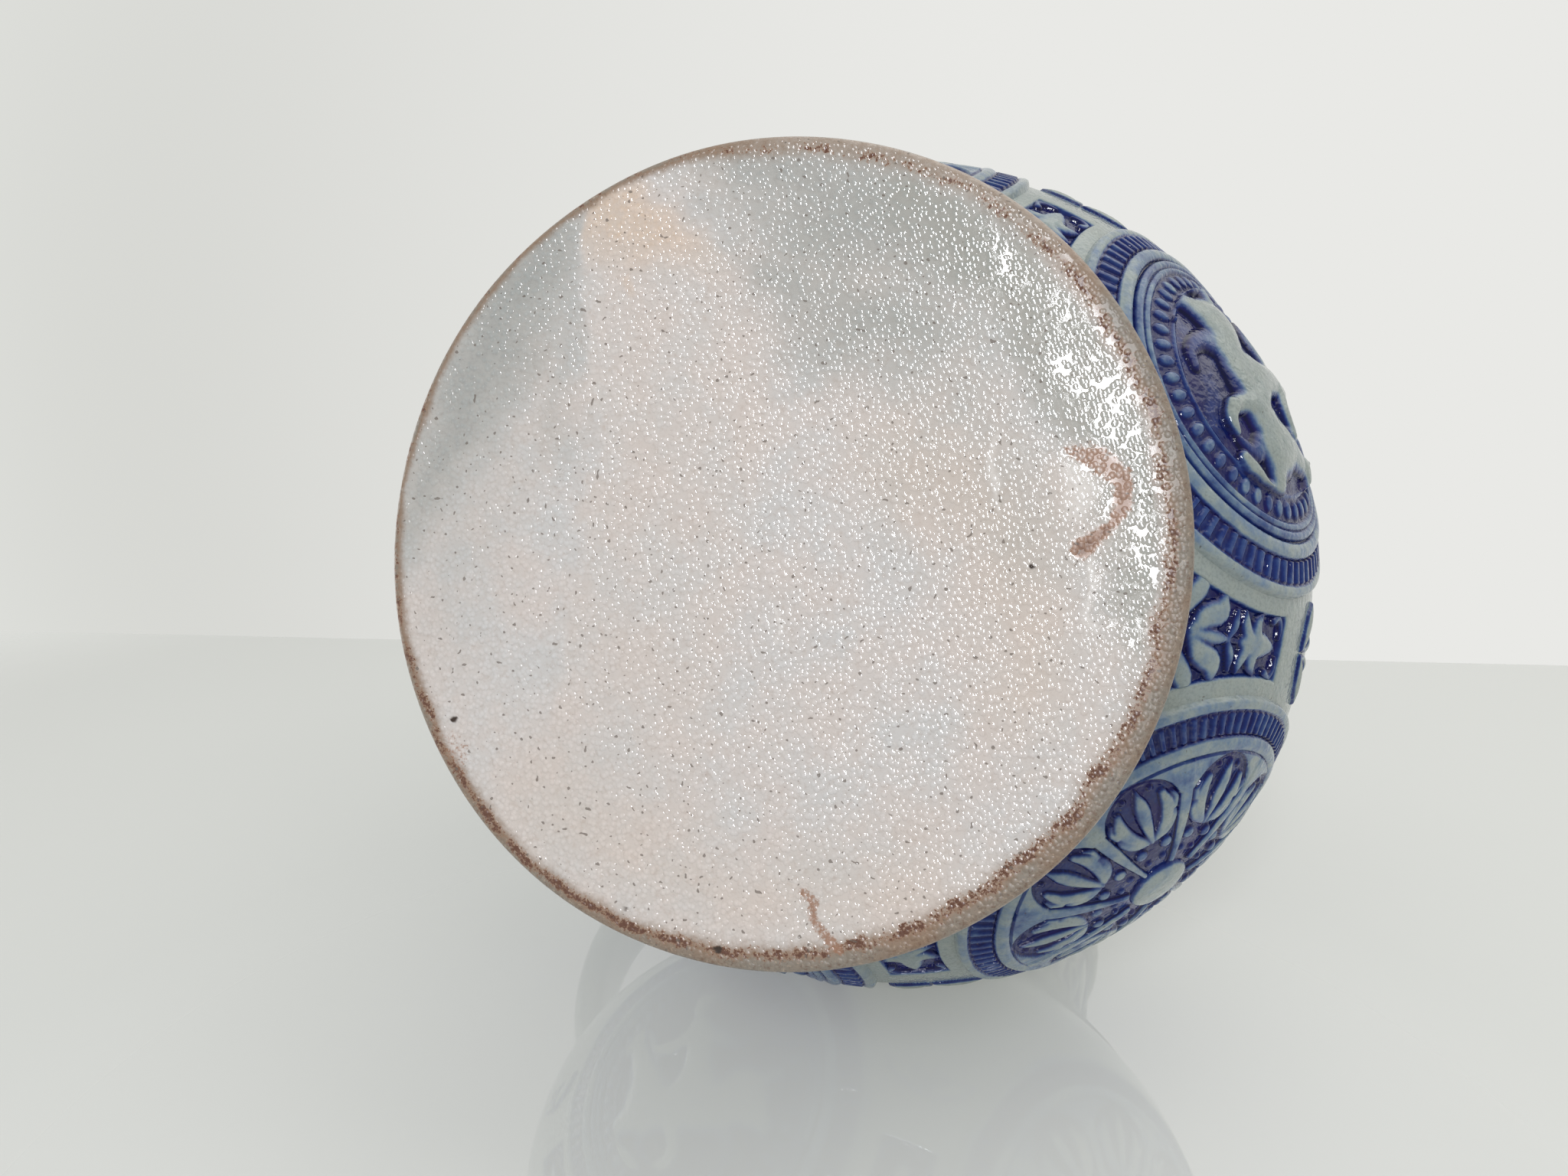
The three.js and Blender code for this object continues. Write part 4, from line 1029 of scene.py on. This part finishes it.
def make_band(name, bottom, top, grid, relief_at, carried, node_name):
    """A strip pressed in a mould and wrapped once round the jug. relief_at gives its relief and
    its cobalt, and carried takes a place on it to the jug's outside."""
    columns, rows = grid
    profile = [(1, height) for height in np.linspace(bottom, top, rows)]
    profile += [(0.5, top), (0.5, bottom), (1, bottom)]
    work = turned(profile, columns)

    def place(corners):
        x, y, z = corners.T
        azimuth = np.arctan2(y, x)
        relief, cobalt = relief_at(azimuth, z)
        offset = np.where(np.hypot(x, y) > 0.75, relief, -0.5)
        return carried(azimuth, z, offset), {"cobalt": cobalt}

    finish_piece(name, work, place, GLAZED, [node_name], sharp=60)


def frieze_relief(azimuth, height):
    """Upright leaves with curls and buds between them, inside two plain borders."""
    u = folded(azimuth, FRIEZE_LEAVES) * math.tau * NECK_RADIUS / FRIEZE_LEAVES
    v = height - FRIEZE_BOTTOM
    tall = FRIEZE_TOP - FRIEZE_BOTTOM
    blade = strand(u, v, (0, 2.5, 1.6), (0, 10, 3.2), (0, 17, 3.4), (0, 26.5, 0.4))
    rib = strand(u, v, (0, 3, 0.7), (0, 24, 0.4))
    curl = strand(u, v, (7.4, 2.4, 0.9), (5.6, 6.5, 1), (5, 11, 0.9), (6.6, 13, 1))
    bud = strand(u, v, (8, 13, 0.7), (8, 18, 1.6), (8, 22.5, 0.5))
    border = np.maximum(smooth(1.4, 0.9, v), smooth(tall - 1.4, tall - 0.9, v))
    leaf = blade * 0.85 * (1 - 0.25 * smooth(0.1, 0.9, rib)) + 0.15 * rib
    raised = highest([leaf, curl * 0.8, bud * 0.8, border * 0.75])
    return 0.35 + 1.5 * raised, 1 - smooth(0.2, 0.6, raised)


def shoulder_relief(azimuth, height):
    """Hanging tongues under round arches with spikes between, inside two plain borders."""
    u = folded(azimuth, BAND_TONGUES) * math.tau * BAND_RADIUS / BAND_TONGUES
    v = (height - BAND_BOTTOM) * BAND_SLANT
    tall = BAND_HEIGHT * BAND_SLANT
    tongue = strand(u, v, (0, 4, 0.6), (0, 8, 2), (0, 12.6, 2.6))
    spike = strand(u, v, (5.9, 4.2, 0.8), (5.9, 10.5, 0.7), (5.9, 13.8, 1.1))
    arch = np.hypot(u, v - 11.4)
    arch = smooth(0.75, 0.25, np.abs(arch - 4.2)) * (v < 12.4)
    border = np.maximum(smooth(1.9, 1.3, v), smooth(tall - 1.9, tall - 1.3, v))
    raised = highest([tongue * 0.9, spike * 0.75, arch * 0.6, border * 0.9])
    return 0.25 + 1.3 * raised, 1 - smooth(0.2, 0.6, raised)


def make_rim():
    band = JUG_HEIGHT - RIM_BAND
    crest = WALL / 2
    rim = NECK_RADIUS + RIM_FLARE
    outer = [(NECK_RADIUS, height) for height in np.linspace(NECK_TOP, band - RIM_FLARE, 10)]
    outer += [(NECK_RADIUS + 0.25, band - 1.7), (NECK_RADIUS + 1.1, band - 0.8)]
    outer += [(rim - 0.25, band - 0.15), (rim, band + 0.5)]
    outer += [(rim, height) for height in np.linspace(band + 2, JUG_HEIGHT - crest, 6)]
    top = arc(rim - crest, JUG_HEIGHT - crest, crest, 0, math.pi, 12)[1:]
    inner = [(NECK_RADIUS - WALL, height) for height in np.linspace(band - crest, NECK_TOP, 12)]

    def place(corners):
        x, y, z = corners.T
        azimuth = np.arctan2(y, x)
        radius = np.hypot(x, y)
        pull = LIP_REACH * np.exp(-((azimuth / LIP_SPREAD) ** 2))
        rise = smooth(JUG_HEIGHT - LIP_DEPTH, JUG_HEIGHT, z)
        out = radius + pull * rise
        up = z + LIP_LIFT * pull * rise
        line = smooth(1.2, 0.3, np.abs(z - band + 1.6)) * (radius > NECK_RADIUS - 1)
        return round_axis(azimuth, out, up), {"cobalt": 0.75 * line}

    thrown_wall("rim_and_lip", [*outer, *top], inner, 360, "pouring_rim", place, 50)


def handle_line():
    """The handle's middle line, from inside the neck's wall to inside the belly's wall."""
    top = JUG_HEIGHT - HANDLE_BELOW_RIM
    bottom = BELLY_HEIGHT + HANDLE_ABOVE_BELLY
    far = BELLY_RADIUS + HANDLE_REACH
    belly = float(tilt_at(bottom)[1])
    down = [top + (bottom - top) * share for share in (0.17, 0.42, 0.76)]
    return [
        (NECK_RADIUS - WALL, top),
        (NECK_RADIUS + HANDLE_START, top),
        ((NECK_RADIUS + far) / 2, top + HANDLE_RISE),
        (far - 0.2 * HANDLE_REACH, down[0]),
        (far, down[1]),
        (far - 0.4 * HANDLE_REACH, down[2]),
        (belly + HANDLE_START, bottom + HANDLE_START / 2),
        (belly - WALL, bottom - WALL),
    ]


def make_handle():
    """A pulled strap: the section swells at both joints and has a shallow groove down its back."""
    line = through(handle_line(), 12)
    runs = np.concatenate([[0], np.cumsum(np.linalg.norm(np.diff(line, axis=0), axis=1))])
    steps = 110
    sides = 56
    shares = np.linspace(0, 1, steps + 1)
    radius = np.interp(shares * runs[-1], runs, line[:, 0])
    height = np.interp(shares * runs[-1], runs, line[:, 1])
    work = bmesh.new()
    shape = {"cap_ends": True, "segments": sides, "radius1": 1, "radius2": 1, "depth": steps}
    bmesh.ops.create_cone(work, **shape)
    long_edges = [edge for edge in work.edges if edge.calc_length() > 1]
    bmesh.ops.subdivide_edges(work, edges=long_edges, cuts=steps - 1)

    def place(corners):
        x, y, z = corners.T
        row = np.clip(np.rint(z + steps / 2).astype(int), 0, steps)
        along = row / steps
        way_radius = np.gradient(radius)[row]
        way_height = np.gradient(height)[row]
        size = np.hypot(way_radius, way_height)
        out_radius = -way_height / size
        out_height = way_radius / size
        upper = 0.35 * np.exp(-((along / 0.09) ** 2))
        lower = 0.5 * np.exp(-(((1 - along) / 0.07) ** 2))
        swell = 1 + upper + lower
        half_width = swell * (HANDLE_WIDTH + (HANDLE_WIDTH_BELOW - HANDLE_WIDTH) * along) / 2
        half_deep = swell * HANDLE_THICKNESS / 2
        flat_x = np.sign(x) * np.abs(x) ** 0.75
        flat_y = np.sign(y) * np.abs(y) ** 0.75
        groove = 0.16 * np.exp(-((flat_x / 0.3) ** 2)) * (flat_y > 0.5)
        rail = 0.05 * np.exp(-(((np.abs(flat_x) - 0.62) / 0.16) ** 2)) * (flat_y > 0.3)
        deep = half_deep * flat_y * (1 - groove + rail) / 1.03
        out = radius[row] + deep * out_radius
        up = height[row] + deep * out_height
        placed = np.stack([-out, half_width * flat_x, up], axis=-1)
        brushed = np.exp(-(((along - 0.1) / 0.03) ** 2)) + np.exp(-(((along - 0.9) / 0.03) ** 2))
        return placed, {"cobalt": 0.75 * np.clip(brushed, 0, 1) * (flat_y > -0.2)}

    piece = finish_piece("strap_handle", work, place, GLAZED, ["handle"], sharp=50)
    fixed = bmesh.new()
    fixed.from_mesh(piece.data)
    bmesh.ops.recalc_face_normals(fixed, faces=fixed.faces)
    fixed.to_mesh(piece.data)
    fixed.free()


make_collar()
make_ring("lower_neck_ring", BODY_TOP + RING_INSET, "neck_ring_lower")
make_ring("upper_neck_ring", NECK_TOP - RING_INSET - RING_HEIGHT, "neck_ring_upper")
frieze = ("leaf_frieze", FRIEZE_BOTTOM, FRIEZE_TOP, (1000, 76))
make_band(*frieze, frieze_relief, on_neck, "neck_frieze")
band = ("tongue_band", BAND_BOTTOM, BAND_TOP, (1080, 44))
make_band(*band, shoulder_relief, skin, "shoulder_band")
make_rim()
make_handle()


# Camera

# Its directions and its place in millimetres, fitted to the edge of the underside, the belly's
# outline, the medallions and their image in the table
CAMERA_RIGHT = Vector((0.94129625, -0.18467498, 0.28258895))
CAMERA_DOWN = Vector((0.18418627, 0.98247692, 0.02853989))
CAMERA_AHEAD = Vector((-0.28290772, 0.02518451, 0.95881644))
CAMERA_PLACE = Vector((56.19, 0.23, -170.74))

lens = bpy.data.cameras.new("camera")
lens.lens = 27.42
lens.sensor_width = 36
lens.clip_start = 0.01
camera = bpy.data.objects.new("camera", lens)
facing = Matrix((CAMERA_RIGHT, -CAMERA_DOWN, -CAMERA_AHEAD)).transposed()
camera.matrix_world = Matrix.Translation(CAMERA_PLACE * MM) @ facing.to_4x4()
scene.collection.objects.link(camera)
scene.camera = camera


# Table, wall and light

# Where the table and the wall are shown and where the table is polished, in metres
JUG_MIDDLE = (0.03, 0.0, 0.12)
SHOWN_TO = 0.36
GONE_FROM = 0.52
POLISHED_PLACE = (0.02, 0.1, 0.03)


def near_only(add, shader):
    """Shows a surface from its front only and fades it out away from the jug, so that the
    other views have a plain pale ground too."""
    behind = add("NewGeometry").outputs["Backfacing"]
    inputs = {0: add("TexCoord").outputs["Object"], 1: JUG_MIDDLE}
    away = add("VectorMath", inputs, operation="DISTANCE").outputs["Value"]
    inputs = {"Value": away, "From Min": SHOWN_TO, "From Max": GONE_FROM}
    far = add("MapRange", inputs, interpolation_type="SMOOTHSTEP")
    hidden = add("Math", {0: behind, 1: far}, operation="MAXIMUM")
    inputs = {"Fac": hidden, 1: shader, 2: add("BsdfTransparent")}
    add("OutputMaterial", {"Surface": add("MixShader", inputs)})


def faded(add, across, left, right):
    """A colour that turns greyer to the left, over 620 mm, where the room's light falls off."""
    inputs = {0: add("TexCoord").outputs["Object"], 1: across}
    along = add("VectorMath", inputs, operation="DOT_PRODUCT").outputs["Value"]
    inputs = {"Value": along, "From Min": -0.5, "From Max": 0.12}
    fade = add("MapRange", inputs, interpolation_type="SMOOTHSTEP")
    inputs = {"Factor": fade, 6: colour(left), 7: colour(right)}
    return add("Mix", inputs, data_type="RGBA").outputs[2]


def lacquered_table(across):
    """Glossy white lacquer, which mirrors the jug faintly and is rubbed dull away from it."""
    material, add = new_material("lacquered_table")
    tone = faded(add, across, "#CBCCC7", "#DADBD7")
    inputs = {0: add("TexCoord").outputs["Object"], 1: POLISHED_PLACE}
    away = add("VectorMath", inputs, operation="DISTANCE").outputs["Value"]
    # rubbed dull from 120 to 160 mm away, and less of a mirror from 100 to 170 mm away
    inputs = {"Value": away, "From Min": 0.12, "From Max": 0.16, "To Min": 0.02, "To Max": 0.5}
    rubbed = add("MapRange", inputs)
    inputs = {"Value": away, "From Min": 0.1, "From Max": 0.17, "To Min": 2.2, "To Max": 1.1}
    worn = add("MapRange", inputs)
    lacquer = add("BsdfPrincipled", {"Base Color": tone, "Roughness": rubbed, "IOR": worn})
    glow = add("Emission", {"Color": colour("#E2E3DF")})
    seen = add("LightPath").outputs["Is Camera Ray"]
    lifted = add("Math", {0: seen, 1: 0.22}, operation="MULTIPLY")
    near_only(add, add("MixShader", {"Fac": lifted, 1: lacquer, 2: glow}))
    return material


def painted_wall(across):
    """Matt white wall paint."""
    material, add = new_material("painted_wall")
    tone = faded(add, across, "#CCCDC8", "#E9E9E6")
    glow = add("Emission", {"Color": tone, "Strength": 1.0})
    paint = add("BsdfDiffuse", {"Color": tone})
    path = add("LightPath").outputs
    inputs = {0: path["Is Camera Ray"], 1: path["Is Glossy Ray"]}
    seen = add("Math", inputs, operation="MAXIMUM")
    near_only(add, add("MixShader", {"Fac": seen, 1: paint, 2: glow}))
    return material


def stage_sheet(name, middle, across, along, half_across, half_along, material):
    """A flat sheet round a middle point, facing along the cross product of its two directions.
    It keeps no light from the jug, so that the jug's far side is lit as its near side is."""
    work = bmesh.new()
    bmesh.ops.create_grid(work, x_segments=1, y_segments=1, size=1)
    normal = across.cross(along)
    columns = Matrix((across * half_across, along * half_along, normal)).transposed()
    matrix = Matrix.Translation(middle) @ columns.to_4x4()
    bmesh.ops.transform(work, matrix=matrix, verts=work.verts)
    bmesh.ops.scale(work, vec=(MM, MM, MM), verts=work.verts)
    mesh = bpy.data.meshes.new(name)
    work.to_mesh(mesh)
    work.free()
    mesh.materials.append(material)
    sheet = bpy.data.objects.new(name, mesh)
    scene.collection.objects.link(sheet)
    sheet.visible_shadow = False
    return sheet


# The jug lies on its belly and its rim, so the table leans to the jug's axis.
TABLE_TILT = math.radians(14.8)
TABLE_SIDE = math.radians(84.7)
level = math.cos(TABLE_TILT)
sideways = (level * math.cos(TABLE_SIDE), level * math.sin(TABLE_SIDE))
table_down = Vector((*sideways, math.sin(TABLE_TILT)))
touching = 0.0
for piece in list(bpy.data.objects):
    if piece.type == "MESH" and not piece.hide_render:
        touching = max(touching, float((places(piece.data) @ np.array(table_down)).max()) / MM)
table_ahead = (CAMERA_AHEAD - table_down * CAMERA_AHEAD.dot(table_down)).normalized()
table_right = table_down.cross(table_ahead).normalized()
camera_above = touching - CAMERA_PLACE.dot(table_down)
SEAM_BELOW = math.radians(17.0)
WALL_AHEAD = camera_above / math.tan(SEAM_BELOW)
foot_of_camera = CAMERA_PLACE + table_down * camera_above
SHEET_HALF_WIDE = 900
WALL_HALF_TALL = 500
# The table ends under the camera, so that no lamp is mirrored in it in the other views.
TABLE_FROM = 110
half_deep = (WALL_AHEAD - TABLE_FROM) / 2
table_middle = foot_of_camera + table_ahead * (WALL_AHEAD - half_deep)
lacquer = lacquered_table(table_right)
width = SHEET_HALF_WIDE
stage_sheet("table", table_middle, table_right, table_ahead, width, half_deep, lacquer)
wall_middle = foot_of_camera + table_ahead * WALL_AHEAD - table_down * WALL_HALF_TALL
paint = painted_wall(table_right)
wall = stage_sheet("wall", wall_middle, table_right, -table_down, width, WALL_HALF_TALL, paint)
wall.visible_diffuse = False

world = bpy.data.worlds.new("studio")
scene.world = world
world.use_nodes = True
world.node_tree.nodes.clear()
add = partial(node, world.node_tree)
path = add("LightPath").outputs
# The room in front of the jug is darker than the wall behind it, so its mirror image is too.
inputs = {0: add("TexCoord").outputs["Generated"], 1: CAMERA_AHEAD}
facing_wall = add("VectorMath", inputs, operation="DOT_PRODUCT").outputs["Value"]
inputs = {"Value": facing_wall, "From Min": -0.6, "From Max": 0.4, "To Min": 0.3}
mirrored = add("MapRange", inputs)
inputs = {0: path["Is Camera Ray"], 1: path["Is Transmission Ray"]}
seen = add("Math", inputs, operation="MAXIMUM")
soft = add("Background", {"Color": colour("#F5F6F6"), "Strength": 0.69})
pale = add("Background", {"Color": colour("#E0E1DD"), "Strength": 1.0})
glossy = add("Background", {"Color": colour("#E6E6E3"), "Strength": mirrored})
unseen = add("MixShader", {"Fac": path["Is Glossy Ray"], 1: soft, 2: glossy})
both = add("MixShader", {"Fac": seen, 1: unseen, 2: pale})
add("OutputWorld", {"Surface": both})

# Soft rectangular lamps: place, aim, the direction of the longer side, size in metres, watts and
# colour. The tall window is mirrored along the upper right of the underside.
LAMPS = {
    "window": ((0.02, -0.2, -0.95), (0.03, 0, 0.05), (0.45, 0.89, 0), (0.4, 0.1), 5.0, "#F7FAFF"),
    "ceiling": ((0.3, -1.0, 0.1), (0, 0, 0.1), (1, 0, 0), (1.2, 1.2), 4.2, "#FFFCF6"),
    "room_left": ((-1.1, 0.3, 0.5), (0, 0, 0.12), (0, 0, 1), (1.0, 1.0), 6, "#FFFFFF"),
    "room_behind": ((0.5, 0.7, 1.2), (0, 0, 0.12), (1, 0, 0), (1.0, 1.0), 8, "#FFFFFF"),
}
for name, (place, aim, along, size, power, code) in LAMPS.items():
    light = bpy.data.lights.new(name, "AREA")
    light.shape = "RECTANGLE"
    light.size, light.size_y = size
    light.energy = power
    light.color = colour(code)[:3]
    lamp = bpy.data.objects.new(name, light)
    back = (Vector(place) - Vector(aim)).normalized()
    long_side = Vector(along)
    long_side = (long_side - back * long_side.dot(back)).normalized()
    turn = Matrix((long_side, back.cross(long_side), back)).transposed().to_4x4()
    lamp.matrix_world = Matrix.Translation(Vector(place)) @ turn
    scene.collection.objects.link(lamp)

view = scene.view_settings
view.view_transform = "Standard"
